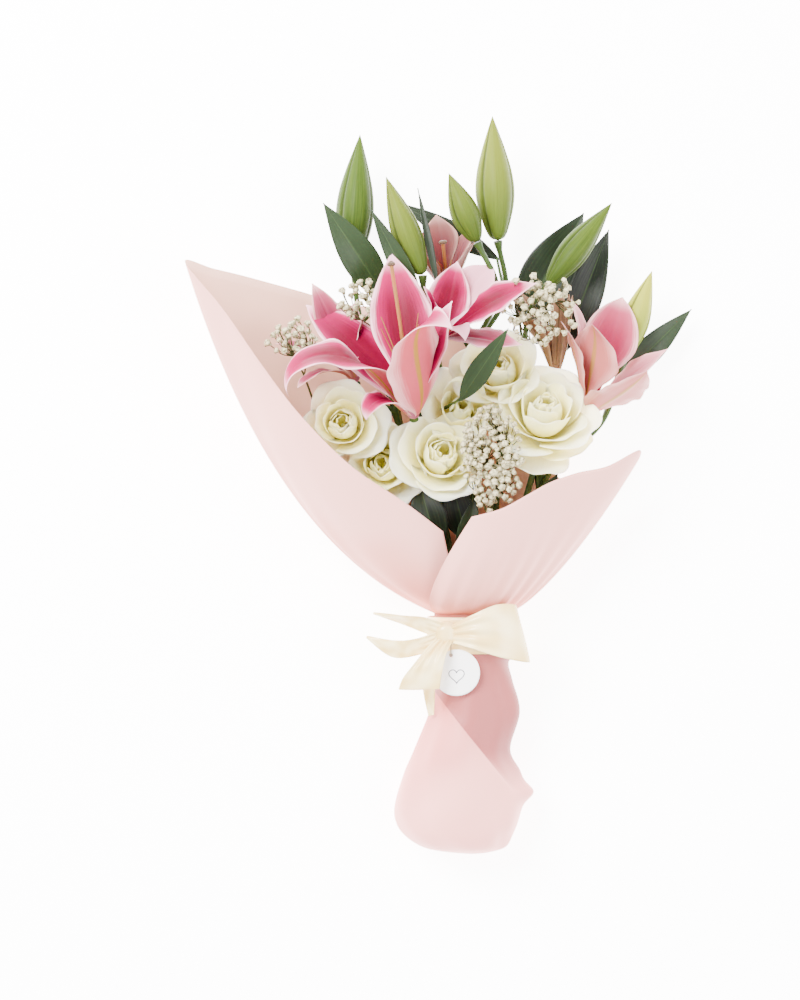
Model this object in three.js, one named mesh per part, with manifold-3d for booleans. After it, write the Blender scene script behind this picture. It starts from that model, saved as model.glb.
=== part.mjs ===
// A hand-tied bouquet of pink lilies, cream roses and gypsophila in a paper wrap, lying on its flat back.
// Millimetres. +Y runs from the tied stems towards the flowers, +Z is up from the table, and +X is to the
// right when the bouquet is looked down on. The origin is on the flat back of the wrap, on the table.
import * as THREE from "three";
import { mergeVertices } from "three/addons/utils/BufferGeometryUtils.js";
import Module from "manifold-3d";

const wasm = await Module();
wasm.setup();

// ---------------------------------------------------------------- driving dimensions
const GAP = 0.35; // kept between neighbouring pieces
const BLADE = 0.8; // thickness of a petal or a leaf
const PAPER = 0.8; // thickness of the wrap with its folds pressed flat
const FINEST = 0.05; // smaller details than this are left out of the solids
const NECK = { x: 24, y: -135, z: 33, rx: 33, rz: 26 }; // where the ribbon ties the stems
const NECK_TOP = -118; // the wrap opens above this
const NECK_LOW = -150; // the wrap's sheets end here, inside the sleeve
const STEM_END = -304; // cut ends of the stems
const LILY_STEM = 3.6; // radii of the stalks
const FORK = 5; // radius of the knot where a lily stem branches
const PEDICEL = 2.4;
const ROSE_STEM = 2.8;
const GYP_STEM = 1.3;
const FLORET = 2.9; // radius of one gypsophila floret

const COLOURS = {
  lily: [0xdf7d9d, 0.5],
  stamens: [0xb9b27a, 0.5],
  bud: [0xb9c67d, 0.5],
  rose: [0xf3efd6, 0.55],
  leaf: [0x3f5a38, 0.5],
  gypsophila: [0xece7d6, 0.7],
  paper: [0xf0d6d3, 0.75],
  sleeve: [0xe9b8b5, 0.75],
  ribbon: [0xf5ecd6, 0.35],
  tag: [0xf6f4f5, 0.6],
  tie: [0x8d7f70, 0.8],
};

// ---------------------------------------------------------------- vectors, meshes and solids
const vec = (x, y, z) => new THREE.Vector3(x, y, z);
const along = (p, ...steps) => {
  const end = p.clone();
  for (const [direction, distance] of steps) end.addScaledVector(direction, distance);
  return end;
};
const radians = THREE.MathUtils.degToRad;
const mix = THREE.MathUtils.lerp;

function solid(geometry) {
  geometry.deleteAttribute("normal");
  geometry.deleteAttribute("uv");
  const merged = mergeVertices(geometry, 1e-3);
  const mesh = new wasm.Mesh({
    numProp: 3,
    vertProperties: new Float32Array(merged.attributes.position.array),
    triVerts: new Uint32Array(merged.index.array),
  });
  return new wasm.Manifold(mesh);
}

const union = (solids) => wasm.Manifold.union(solids);

// The largest body of a solid: a scrap that a cut left loose is dropped.
function largest(made) {
  const bodies = made.decompose().sort((a, b) => b.volume() - a.volume());
  return bodies[0];
}

// A grid of middle points, `at(t, q)` with t from 0 to 1 along and q from -1 to 1 across, thickened into a
// closed solid. Both faces are split into triangles alike. `round` joins the last column to the first, and
// `pole` closes the last row to one point. `grow` thickens it on every side.
function sheet(at, { rows, cols, thick, round = false, pole = false, grow = 0 }) {
  const across = round ? cols : cols + 1;
  const middle = [];
  const normals = [];
  const step = 1e-3;
  for (let i = 0; i <= rows; i++)
    for (let j = 0; j < across; j++) {
      const t = i / rows;
      const q = (2 * j) / cols - 1;
      const t0 = Math.max(t - step, 0);
      const t1 = Math.min(t + step, 1);
      const q0 = round ? q - step : Math.max(q - step, -1);
      const q1 = round ? q + step : Math.min(q + step, 1);
      const alongT = at(t1, q).sub(at(t0, q)).normalize();
      const alongQ = at(t, q1).sub(at(t, q0)).normalize();
      const p = at(t, q);
      if (grow && !round && j === 0) p.addScaledVector(alongQ, -grow);
      if (grow && !round && j === cols) p.addScaledVector(alongQ, grow);
      if (grow && i === 0) p.addScaledVector(alongT, -grow);
      if (grow && i === rows && !pole) p.addScaledVector(alongT, grow);
      middle.push(p);
      normals.push(alongT.cross(alongQ).normalize());
    }
  const count = middle.length;
  const offset = thick / 2 + grow;
  const points = [];
  for (const side of [1, -1])
    middle.forEach((p, k) => points.push(...along(p, [normals[k], side * offset]).toArray()));
  const faces = [];
  const id = (side, i, j) => {
    if (pole && i === rows) return side * count + rows * across;
    return side * count + i * across + (j % across);
  };
  const quad = (a, b, c, d) => {
    if (a !== b && b !== c && a !== c) faces.push(a, b, c);
    if (a !== c && c !== d && a !== d) faces.push(a, c, d);
  };
  for (let i = 0; i < rows; i++)
    for (let j = 0; j < cols; j++) {
      quad(id(0, i, j), id(0, i + 1, j), id(0, i + 1, j + 1), id(0, i, j + 1));
      const [a, b, c, d] = [id(1, i, j), id(1, i + 1, j), id(1, i + 1, j + 1), id(1, i, j + 1)];
      if (a !== b && b !== c && a !== c) faces.push(a, c, b);
      if (a !== c && c !== d && a !== d) faces.push(a, d, c);
    }
  for (let j = 0; j < cols; j++) {
    quad(id(1, 0, j), id(0, 0, j), id(0, 0, j + 1), id(1, 0, j + 1));
    if (!pole) quad(id(0, rows, j), id(1, rows, j), id(1, rows, j + 1), id(0, rows, j + 1));
  }
  if (!round)
    for (let i = 0; i < rows; i++) {
      quad(id(0, i, 0), id(1, i, 0), id(1, i + 1, 0), id(0, i + 1, 0));
      quad(id(1, i, cols), id(0, i, cols), id(0, i + 1, cols), id(1, i + 1, cols));
    }
  const geometry = new THREE.BufferGeometry();
  geometry.setAttribute("position", new THREE.Float32BufferAttribute(points, 3));
  geometry.setIndex(faces);
  return solid(geometry);
}

// A round stalk through a list of points.
function tube(points, radius, { sides = 6, steps = 8 } = {}) {
  const curve = new THREE.CatmullRomCurve3(points, false, "centripetal");
  const ring = [];
  for (let k = 0; k < sides; k++) {
    const angle = (2 * Math.PI * k) / sides;
    ring.push(new THREE.Vector2(radius * Math.cos(angle), radius * Math.sin(angle)));
  }
  return solid(new THREE.ExtrudeGeometry(new THREE.Shape(ring), { steps, extrudePath: curve }));
}

function ball(at, radius, scale = vec(1, 1, 1), detail = 0) {
  const geometry = new THREE.IcosahedronGeometry(radius, detail);
  geometry.scale(scale.x, scale.y, scale.z).translate(at.x, at.y, at.z);
  return solid(geometry);
}

const bead = (at, radius) => solid(new THREE.OctahedronGeometry(radius).translate(at.x, at.y, at.z));

// A repeatable random number from 0 to 1.
function random(seed) {
  let state = seed;
  return () => {
    state = (Math.imul(state, 1664525) + 1013904223) >>> 0;
    return state / 4294967296;
  };
}

// ---------------------------------------------------------------- petals
// Directions about a bloom's axis: `turn` 0 is to the right, 90 away from the viewer.
function spokes(axis, turn) {
  const a = axis.clone().normalize();
  const right = along(vec(1, 0, 0), [a, -a.x]).normalize();
  const far = a.clone().cross(right);
  const angle = radians(turn);
  const out = right.multiplyScalar(Math.cos(angle)).addScaledVector(far, Math.sin(angle));
  return { a, out, side: a.clone().cross(out) };
}

// A petal's rib leans from the axis by open[0] degrees at its foot, open[1] halfway and open[2] at its tip.
function ribOf(open, long, start) {
  const steps = 24;
  const lean = (t) => {
    const share = [(1 - t) * (1 - 2 * t), 4 * t * (1 - t), t * (2 * t - 1)];
    return radians(open[0] * share[0] + open[1] * share[1] + open[2] * share[2]);
  };
  const reach = [start];
  const rise = [0];
  for (let k = 0; k < steps; k++) {
    const angle = lean((k + 0.5) / steps);
    reach.push(reach[k] + (Math.sin(angle) * long) / steps);
    rise.push(rise[k] + (Math.cos(angle) * long) / steps);
  }
  const read = (list, t) => {
    const k = Math.min(Math.floor(t * steps), steps - 1);
    return mix(list[k], list[k + 1], t * steps - k);
  };
  return (t) => ({ reach: read(reach, t), rise: read(rise, t), lean: lean(t) });
}

// A lily tepal: narrow at its foot, widest past the middle, pointed. The feet stand round the throat like
// staves; from there the blade opens into a shallow gutter with waved margins. `sway` moves its tip aside,
// and `twist` is how far it is rolled about its rib near the foot.
function tepal(bloom, petal) {
  const shape = { cup: 0.12, wave: 2, sway: 0, twist: 0, ...LILY, ...bloom, ...petal };
  const { a, out, side } = spokes(bloom.axis, petal.turn);
  const rib = ribOf(petal.open, petal.long, LILY.throat + petal.ring);
  const ease = THREE.MathUtils.smoothstep;
  return (t, q) => {
    const r = rib(t);
    const swell = Math.sin(Math.PI * t ** shape.belly) + shape.claw * (1 - t) ** 2;
    const half = Math.max(shape.wide * swell, LILY.tip);
    const opened = ease(t, ...shape.tube);
    const bend = Math.min(half / r.reach, LILY.wrap) * q;
    const waved = shape.wave * Math.sin(LILY.waves * t + LILY.slant * q) * q * q * Math.sin(Math.PI * t);
    const x = mix(r.reach * Math.sin(bend), half * q, opened);
    const high = opened * (shape.cup * half * q * q + waved);
    const roll = radians(shape.twist) * (1 - ease(t, ...LILY.unroll));
    const across = x * Math.cos(roll) - high * Math.sin(roll);
    const lift = x * Math.sin(roll) + high * Math.cos(roll);
    const reach = r.reach - (1 - opened) * r.reach * (1 - Math.cos(bend)) - lift * Math.cos(r.lean);
    return along(
      bloom.at,
      [out, reach],
      [a, r.rise + lift * Math.sin(r.lean)],
      [side, across + shape.sway * t * t],
    );
  };
}

// A rose petal: broad, with a rounded top, bent round the bloom's axis.
function rosePetal(bloom, { turn, open, long, wide, drop }) {
  const { a, out, side } = spokes(bloom.axis, turn);
  const rib = ribOf(open, long, ROSE.foot);
  return (t, q) => {
    const r = rib(t);
    const top = Math.max(t - ROSE.belly, 0) / (ROSE.round - ROSE.belly);
    const low = Math.sin((Math.PI * Math.min(t, ROSE.belly)) / (2 * ROSE.belly));
    const half = wide * mix(ROSE.claw, 1, low) * Math.sqrt(1 - top * top);
    const bend = Math.min(half / r.reach, ROSE.wrap) * q;
    return along(
      bloom.at,
      [out, r.reach * Math.cos(bend)],
      [a, r.rise - drop],
      [side, r.reach * Math.sin(bend)],
    );
  };
}

// ---------------------------------------------------------------- lilies
const LILY = {
  throat: 3.8, // how far from the axis a tepal's rib starts
  foot: 6.2, // radius of the ball that joins the tepals
  belly: 1.1, // moves a tepal's widest place along it
  claw: 0.16, // its width at the foot
  tip: 0.9, // least half width
  step: 0.8, // an outer tepal's distance behind an inner one
  wrap: 0.6, // how far it bends round the axis at its foot
  tube: [0.2, 0.6], // where it goes from bent to flat
  unroll: [0.25, 0.6], // where a rolled one lies flat again
  waves: 9, // how fast its margin waves along it
  slant: 1.4, // and across it
};
// Each bloom: the end of its stalk, its axis, and its six tepals, outer and inner ones by turns.
const LILIES = {
  lily_1: {
    at: vec(-28, 57, 98),
    axis: vec(-0.12, 0.8, 0.58),
    petals: [
      { turn: 88, open: [24, 40, 60], long: 142, wide: 27, cup: 0.14, sway: 10 },
      { turn: 131, open: [36, 70, 80], long: 148, wide: 25, cup: 0.2 },
      { turn: 188, open: [26, 56, 196], long: 164, wide: 23, cup: 0.1, wave: 4, twist: 50, claw: 0.6 },
      { turn: 222, open: [54, 46, 190], long: 72, wide: 17, cup: 0.1, tube: [0, 0.3] },
      { turn: 322, open: [34, 4, 124], long: 140, wide: 30, belly: 1.1, claw: 0.5, tube: [0, 0.2] },
      { turn: 40, open: [22, 30, 50], long: 104, wide: 17 },
    ],
    stamens: { turn: 95, lean: 50, long: 72, style: 112 },
  },
  lily_2: {
    at: vec(-6, 124, 74),
    axis: vec(0.22, 0.76, 0.6),
    petals: [
      { turn: 84, open: [16, 32, 44], long: 67, wide: 17, cup: 0.3, claw: 0.5, tube: [0, 0.3] },
      { turn: 54, open: [26, 46, 90], long: 84, wide: 18, cup: 0.1, belly: 1.5 },
      { turn: 2, open: [22, 42, 60], long: 100, wide: 20, cup: 0.1, claw: 0.5, tube: [0, 0.3] },
      { turn: -22, open: [44, 74, 70], long: 76, wide: 16 },
      { turn: -62, open: [24, 40, 150], long: 52, wide: 12 },
      { turn: 166, open: [14, 22, 50], long: 52, wide: 10 },
    ],
  },
  lily_3: {
    at: vec(-80, 90, 50),
    axis: vec(-0.3, 0.88, 0.3),
    petals: [
      { turn: 50, open: [12, 22, 60], long: 70, wide: 12 },
      { turn: 112, open: [8, 14, 40], long: 92, wide: 15 },
      { turn: 178, open: [20, 44, 80], long: 76, wide: 16 },
      { turn: 222, open: [30, 74, 110], long: 66, wide: 15 },
      { turn: 285, open: [20, 50, 110], long: 46, wide: 11 },
      { turn: 350, open: [14, 24, 50], long: 62, wide: 11 },
    ],
  },
  lily_4: {
    at: vec(126, 60, 46),
    axis: vec(0.26, 0.86, 0.42),
    petals: [
      { turn: 82, open: [16, 18, 60], long: 108, wide: 24, cup: 0.3, belly: 1.4 },
      { turn: 6, open: [24, 34, 40], long: 90, wide: 17 },
      { turn: -66, open: [38, 42, 30], long: 98, wide: 23, claw: 0.5, tube: [0, 0.3] },
      { turn: -132, open: [26, 12, 50], long: 100, wide: 25 },
      { turn: -164, open: [24, 26, 50], long: 96, wide: 15 },
      { turn: 150, open: [18, 22, 50], long: 102, wide: 15 },
    ],
  },
  lily_5: {
    at: vec(4, 162, 34),
    axis: vec(-0.12, 0.98, 0.06),
    tube: [0.35, 0.95],
    petals: [
      { turn: 95, open: [14, 14, 20], long: 78, wide: 24 },
      { turn: 35, open: [16, 26, 56], long: 72, wide: 16 },
      { turn: -25, open: [18, 28, 50], long: 54, wide: 12 },
      { turn: -85, open: [24, 66, 130], long: 34, wide: 11 },
      { turn: -145, open: [18, 26, 40], long: 48, wide: 12 },
      { turn: 155, open: [16, 28, 60], long: 76, wide: 20 },
    ],
    stamens: { turn: 270, lean: 24, long: 26, style: 38 },
  },
  lily_6: {
    at: vec(98, 98, 40),
    axis: vec(0.05, 0.98, 0.16),
    tube: [0.7, 1.3],
    petals: [
      { turn: 90, open: [18, 4, -6], long: 72, wide: 11 },
      { turn: 30, open: [18, 5, -2], long: 68, wide: 9 },
      { turn: -30, open: [18, 5, 4], long: 68, wide: 9 },
      { turn: -90, open: [18, 4, -4], long: 72, wide: 11 },
      { turn: -150, open: [24, 34, 60], long: 68, wide: 14, tube: [0.2, 0.7] },
      { turn: 150, open: [20, 26, 50], long: 76, wide: 14, tube: [0.2, 0.7] },
    ],
  },
};

const lilyPetals = (bloom) => (grow) => {
  const foot = ball(along(bloom.at, [bloom.axis.clone().normalize(), 1.5]), LILY.foot + grow);
  const petals = bloom.petals.map((petal, k) => {
    const ring = k % 2 ? -LILY.step : LILY.step; // outer tepals stand behind inner ones
    return sheet(tepal(bloom, { ...petal, ring }), { rows: 4, cols: 2, thick: BLADE, grow });
  });
  return union([foot, ...petals]);
};

// Bare filaments and a pistil with its stigma, from one root in the throat. They spread as they rise, and all
// lean one way, the style the most.
const STAMENS = { count: 6, root: 11, seat: 3.4, filament: 0.9, style: 1.5, stigma: 4 };
const lilyStamens = (bloom) => (grow) => {
  const { turn, lean, long, style } = bloom.stamens;
  const { a, out } = spokes(bloom.axis, turn);
  const root = along(bloom.at, [a, STAMENS.root]);
  const pieces = [bead(root, STAMENS.seat + grow)];
  for (let k = 0; k < STAMENS.count; k++) {
    const spread = spokes(bloom.axis, (360 / STAMENS.count) * (k + 0.5));
    const middle = along(root, [a, long * 0.55], [spread.out, long * 0.1], [out, lean * 0.2]);
    const tip = along(root, [a, long], [spread.out, long * 0.26], [out, lean * 0.55]);
    pieces.push(tube([root, middle, tip], STAMENS.filament + grow, { sides: 3, steps: 2 }));
  }
  const bend = along(root, [a, style * 0.5], [out, lean * 0.2]);
  const stigma = along(root, [a, style], [out, lean]);
  pieces.push(tube([root, bend, stigma], STAMENS.style + grow, { sides: 4, steps: 3 }));
  pieces.push(bead(stigma, STAMENS.stigma + grow));
  return union(pieces);
};

// ---------------------------------------------------------------- buds
// Each bud: its foot, its tip and its radius. It is widest near the middle, with three ribs and grooves.
const BUD_RINGS = [0.36, 0.8, 1, 0.93, 0.66, 0.3];
const BUD = { sides: 9, ribs: 3, deep: 0.07 };
const BUDS = {
  bud_1: [vec(-82, 193, 38), vec(-75, 307, 40), 16.5],
  bud_2: [vec(-20, 180, 68), vec(-52, 266, 72), 13],
  bud_3: [vec(28, 209, 68), vec(3, 269, 72), 12.5],
  bud_4: [vec(47, 212, 46), vec(42, 322, 50), 17],
  bud_5: [vec(91, 172, 62), vec(147, 244, 62), 13],
  bud_6: [vec(160, 110, 34), vec(184, 186, 40), 12.5],
};

const bud = ([foot, tip, radius]) => (grow) => {
  const long = foot.distanceTo(tip);
  const profile = [new THREE.Vector2(0, -grow)];
  BUD_RINGS.forEach((share, k) => {
    profile.push(new THREE.Vector2(radius * share + grow, (long * (k + 0.14)) / (BUD_RINGS.length - 0.1)));
  });
  profile.push(new THREE.Vector2(0, long + grow));
  const lathed = new THREE.LatheGeometry(profile, BUD.sides);
  const spots = lathed.attributes.position;
  for (let k = 0; k < spots.count; k++) {
    const [x, z] = [spots.getX(k), spots.getZ(k)];
    const ribbed = 1 + BUD.deep * Math.cos(BUD.ribs * Math.atan2(z, x));
    spots.setXYZ(k, x * ribbed, spots.getY(k), z * ribbed);
  }
  const turn = new THREE.Quaternion().setFromUnitVectors(vec(0, 1, 0), tip.clone().sub(foot).normalize());
  return solid(lathed.applyQuaternion(turn).translate(foot.x, foot.y, foot.z));
};

// ---------------------------------------------------------------- roses
// Petals follow one another round the heart by the golden angle, each outside the one before it and more
// open. A fallen petal hangs outside them.
const ROSE = { foot: 2.4, claw: 0.34, belly: 0.6, round: 1.06, wrap: 1.15, turn: 137.5, drop: 1, core: 5.5 };
const ROSE_FIRST = { open: [62, 6, -30], long: 38, wide: 15 };
const ROSE_LAST = { open: [86, 44, 80], long: 52, wide: 38 };
const ROSES = {
  rose_1: { at: vec(-88, 46, 58), axis: vec(-0.1, 0.2, 0.97), size: 0.95, turn: 20, petals: 6 },
  rose_2: { at: vec(-6, 14, 62), axis: vec(0.12, 0.34, 0.93), size: 1.08, turn: 75, petals: 7 },
  rose_3: {
    at: vec(86, 45, 58),
    axis: vec(0.05, 0.6, 0.8),
    size: 1.2,
    turn: 110,
    petals: 7,
    fallen: [
      { turn: -98, open: [84, 74, 30], long: 54, wide: 25 },
      { turn: -46, open: [84, 66, 30], long: 44, wide: 22 },
    ],
  },
  rose_4: { at: vec(50, 86, 46), axis: vec(-0.1, 0.5, 0.86), size: 1.02, turn: 0, petals: 5 },
  rose_5: { at: vec(12, 56, 48), axis: vec(0.1, 0.3, 0.95), size: 0.95, turn: 50, petals: 4 },
  rose_6: { at: vec(-52, 12, 42), axis: vec(-0.1, 0.1, 0.98), size: 1.04, turn: 10, petals: 5 },
};

const rosePetals = (bloom) => {
  const list = [];
  for (let k = 0; k < bloom.petals; k++) {
    const u = k / (bloom.petals - 1);
    list.push({
      turn: bloom.turn + ROSE.turn * k,
      open: ROSE_FIRST.open.map((angle, n) => mix(angle, ROSE_LAST.open[n], u)),
      long: bloom.size * mix(ROSE_FIRST.long, ROSE_LAST.long, u),
      wide: bloom.size * mix(ROSE_FIRST.wide, ROSE_LAST.wide, u),
      drop: ROSE.drop * k,
    });
  }
  for (const { turn, open, long, wide } of bloom.fallen ?? []) {
    const drop = ROSE.drop * (bloom.petals - 1);
    list.push({ turn, open, long: bloom.size * long, wide: bloom.size * wide, drop });
  }
  return list;
};

const roseLow = (bloom) => along(bloom.at, [bloom.axis.clone().normalize(), -ROSE.drop * bloom.petals - 1]);

const roseHead = (bloom) => (grow) => {
  const a = bloom.axis.clone().normalize();
  const core = [along(roseLow(bloom), [a, -grow]), along(bloom.at, [a, 4])];
  const pieces = [tube(core, ROSE.core + grow, { steps: 1 })];
  for (const petal of rosePetals(bloom)) {
    pieces.push(sheet(rosePetal(bloom, petal), { rows: 3, cols: 3, thick: BLADE, grow }));
  }
  return union(pieces);
};

// ---------------------------------------------------------------- leaves and stems
const LEAF = { arch: 6, belly: 0.85, fold: 0.16, tip: 0.9, stalk: 1.5 };
const stalk = (points, radius) => {
  const steps = Math.round(1.4 * (points.length - 1));
  return tube(points, radius, { sides: 5, steps });
};

// A lance-shaped leaf from its foot to its tip, arching by `arch` and folded a little along the rib.
function leafBlade({ foot, tip, half, arch = LEAF.arch }) {
  const run = tip.clone().sub(foot);
  const side = run.clone().cross(vec(0, 0, 1)).normalize();
  const face = side.clone().cross(run).normalize();
  return (t, q) => {
    const x = Math.max(half * Math.sin(Math.PI * t ** LEAF.belly), LEAF.tip) * q;
    return along(foot, [run, t], [side, x], [face, arch * Math.sin(Math.PI * t) + LEAF.fold * Math.abs(x)]);
  };
}

// A leaf with its short foot stalk, from `root` on a stem.
function leafOn(root, leaf, grow) {
  const inward = along(leaf.foot, [leaf.tip.clone().sub(leaf.foot).normalize(), 2]);
  return union([
    sheet(leafBlade(leaf), { rows: 3, cols: 2, thick: BLADE, grow }),
    tube([root, inward], LEAF.stalk + grow, { sides: 3, steps: 1 }),
  ]);
}

// The shared lower run of every stalk: from its cut end, through the neck.
function through([dx, dz]) {
  return [
    vec(NECK.x + 1.15 * dx - 8, STEM_END, NECK.z + 1.1 * dz),
    vec(NECK.x + dx, NECK.y - 22, NECK.z + dz),
    vec(NECK.x + dx, NECK_TOP + 6, NECK.z + dz),
  ];
}

// Lily stems: where each stands in the neck, the way up to the fork, the pedicels from the fork to their
// blooms and buds, and the leaves. A leaf springs from its `root`.
const bloomFoot = ({ at, axis }) => along(at, [axis.clone().normalize(), 1 - LILY.foot - 2 * GAP]);
const budFoot = ([foot, tip]) => along(foot, [tip.clone().sub(foot).normalize(), -2 * GAP]);
const LILY_STEMS = {
  lily_stem_1: {
    neck: [-10, -6],
    way: [vec(-8, -45, 26), vec(-44, 62, 28)],
    pedicels: [
      [vec(-68, 72, 36), bloomFoot(LILIES.lily_3)],
      [vec(-74, 140, 26), budFoot(BUDS.bud_1)],
      [vec(-18, 128, 58), budFoot(BUDS.bud_2)],
    ],
    leaves: [
      { root: vec(-74, 140, 26), foot: vec(-50, 158, 38), tip: vec(-107, 243, 68), half: 16, arch: 8 },
      { root: vec(-18, 128, 58), foot: vec(-20, 150, 66), tip: vec(-65, 236, 84), half: 9 },
      { root: vec(-18, 128, 58), foot: vec(-6, 168, 66), tip: vec(-24, 257, 60), half: 3.5, arch: 2 },
    ],
  },
  lily_stem_2: {
    neck: [2, -9],
    way: [vec(22, -30, 16), vec(24, 116, 13)],
    pedicels: [
      [vec(10, 140, 28), bloomFoot(LILIES.lily_5)],
      [vec(46, 168, 56), budFoot(BUDS.bud_3)],
      [vec(54, 164, 30), budFoot(BUDS.bud_4)],
    ],
    leaves: [{ root: vec(54, 164, 30), foot: vec(50, 198, 8), tip: vec(-42, 250, 6), half: 10, arch: 2 }],
  },
  lily_stem_3: {
    neck: [20, -5],
    way: [vec(60, -62, 31), vec(84, -12, 40)],
    pedicels: [
      [vec(99, 22, 48), bloomFoot(LILIES.lily_4)],
      [vec(92, 56, 34), bloomFoot(LILIES.lily_6)],
      [vec(72, 96, 28), vec(75, 150, 57), budFoot(BUDS.bud_5)],
      [vec(96, 12, 48), vec(140, 52, 36), budFoot(BUDS.bud_6)],
    ],
    leaves: [
      { root: vec(72, 96, 28), foot: vec(66, 140, 18), tip: vec(124, 238, 30), half: 23 },
      { root: vec(92, 56, 34), foot: vec(104, 112, 16), tip: vec(147, 224, 22), half: 17 },
      { root: vec(140, 52, 36), foot: vec(150, 84, 14), tip: vec(221, 153, 20), half: 12 },
    ],
  },
  lily_stem_4: {
    neck: [-4, 4],
    way: [vec(4, -62, 34), vec(-10, 30, 32)],
    pedicels: [
      [vec(-30, 78, 52), vec(-30, 68, 80), bloomFoot(LILIES.lily_1)],
      [vec(-4, 88, 50), bloomFoot(LILIES.lily_2)],
    ],
    leaves: [
      { root: vec(-7, 60, 41), foot: vec(12, 68, 92), tip: vec(53, 129, 134), half: 10, arch: 4 },
      { root: vec(7, -66, 34), foot: vec(20, -54, 52), tip: vec(4, 4, 58), half: 15 },
    ],
  },
};

const lilyStem = ({ neck, way: up, pedicels, leaves }) => (grow) => {
  const fork = up[up.length - 1];
  const pieces = [stalk([...through(neck), ...up], LILY_STEM + grow), bead(fork, FORK + grow)];
  for (const way of pedicels) {
    pieces.push(tube([fork, ...way], PEDICEL + grow, { sides: 4, steps: 2 * way.length - 1 }));
  }
  for (const leaf of leaves) pieces.push(leafOn(leaf.root, leaf, grow));
  return union(pieces);
};

// Rose stems: a stalk up to the calyx, five sepals under the petals, and some with a leaf.
const ROSE_STEMS = {
  rose_stem_1: { neck: [-20, -2], way: [vec(-46, -40, 14), vec(-78, 10, 14)], rose: "rose_1" },
  rose_stem_2: {
    neck: [-6, 15],
    way: [vec(-10, -50, 42)],
    rose: "rose_2",
    leaves: [{ root: vec(0, -76, 47), foot: vec(-6, -62, 62), tip: vec(-24, 2, 66), half: 16 }],
  },
  rose_stem_3: {
    neck: [18, 6],
    way: [vec(62, -50, 48)],
    rose: "rose_3",
    leaves: [{ root: vec(52, -78, 45), foot: vec(64, -60, 62), tip: vec(98, 6, 88), half: 14 }],
  },
  rose_stem_4: { neck: [10, 6], way: [vec(46, -20, 36)], rose: "rose_4" },
  rose_stem_5: {
    neck: [3, 13],
    way: [vec(29, -40, 34)],
    rose: "rose_5",
    leaves: [{ root: vec(28, -80, 41), foot: vec(16, -70, 60), tip: vec(26, -14, 76), half: 10 }],
  },
  rose_stem_6: {
    neck: [-14, 8],
    way: [vec(-14, -64, 34), vec(-48, -14, 14)],
    rose: "rose_6",
    leaves: [{ root: vec(2, -92, 38), foot: vec(4, -84, 60), tip: vec(-44, -24, 80), half: 12 }],
  },
};
const SEPALS = { count: 5, long: 24, notch: 6, tip: 0.07, below: 2.5 };
const CALYX = { long: 7, radius: 5, sides: 5 };

const roseStem = ({ neck, way, rose, leaves = [] }) => (grow) => {
  const a = ROSES[rose].axis.clone().normalize();
  const top = along(roseLow(ROSES[rose]), [a, -2 * GAP]);
  const base = along(top, [a, -CALYX.long]);
  const run = [...through(neck), ...way, along(base, [a, -6]), along(base, [a, 2])];
  const pieces = [stalk(run, ROSE_STEM + grow)];
  pieces.push(tube([base, along(top, [a, grow])], CALYX.radius + grow, { sides: CALYX.sides, steps: 1 }));
  const star = [];
  for (let k = 0; k < SEPALS.count; k++) {
    const turn = (2 * Math.PI * k) / SEPALS.count;
    const step = Math.PI / SEPALS.count;
    for (const [angle, r] of [[-SEPALS.tip, SEPALS.long], [SEPALS.tip, SEPALS.long], [step, SEPALS.notch]]) {
      star.push(new THREE.Vector2((r + grow) * Math.cos(turn + angle), (r + grow) * Math.sin(turn + angle)));
    }
  }
  const depth = BLADE + 2 * grow;
  const sepals = new THREE.ExtrudeGeometry(new THREE.Shape(star), { depth, bevelEnabled: false });
  const facing = new THREE.Quaternion().setFromUnitVectors(vec(0, 0, 1), a);
  const seat = along(top, [a, -SEPALS.below - grow]);
  pieces.push(solid(sepals.applyQuaternion(facing).translate(seat.x, seat.y, seat.z)));
  for (const leaf of leaves) pieces.push(leafOn(leaf.root, leaf, grow));
  return union(pieces);
};

// ---------------------------------------------------------------- gypsophila
// Each spray: its place in the neck, its way up to the hub, the branch ends, and the middle and half sizes
// of its cloud of florets.
const SPRAYS = {
  gypsophila_1: {
    neck: [12, 15],
    way: [vec(40, -70, 66)],
    hub: vec(38, -34, 80),
    branches: [vec(30, -12, 92), vec(46, -6, 92), vec(36, 18, 94), vec(50, 24, 92)],
    cloud: vec(40, 20, 106),
    half: vec(28, 48, 14),
    count: 24,
    seed: 11,
  },
  gypsophila_2: {
    neck: [12, -3],
    way: [vec(46, -30, 22), vec(50, 50, 12), vec(62, 134, 15)],
    hub: vec(64, 138, 62),
    branches: [vec(64, 142, 80), vec(82, 142, 88), vec(94, 156, 84), vec(74, 122, 90)],
    cloud: vec(82, 150, 98),
    half: vec(36, 34, 14),
    count: 18,
    seed: 29,
  },
  gypsophila_3: {
    neck: [-14, 14],
    way: [vec(-22, -50, 46), vec(-31, 0, 42), vec(-38, 50, 40), vec(-49, 104, 48)],
    hub: vec(-56, 130, 66),
    branches: [vec(-74, 140, 78), vec(-62, 148, 78)],
    cloud: vec(-72, 158, 84),
    half: vec(24, 18, 10),
    count: 10,
    seed: 37,
  },
  gypsophila_4: {
    neck: [-24, 1],
    way: [vec(-54, -24, 23), vec(-80, 10, 22), vec(-108, 50, 34)],
    hub: vec(-124, 92, 60),
    branches: [vec(-132, 108, 74), vec(-120, 114, 72)],
    cloud: vec(-132, 122, 82),
    half: vec(26, 20, 10),
    count: 12,
    seed: 41,
  },
};
const FLOWER = { sides: 3, stalk: 0.6, root: 0.8, calyx: 4, brim: 0.8, crown: 1.2, apart: 2.2 };
const SPRAY = { hub: 2.2, branch: 0.9, knot: 2.8 };

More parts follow.
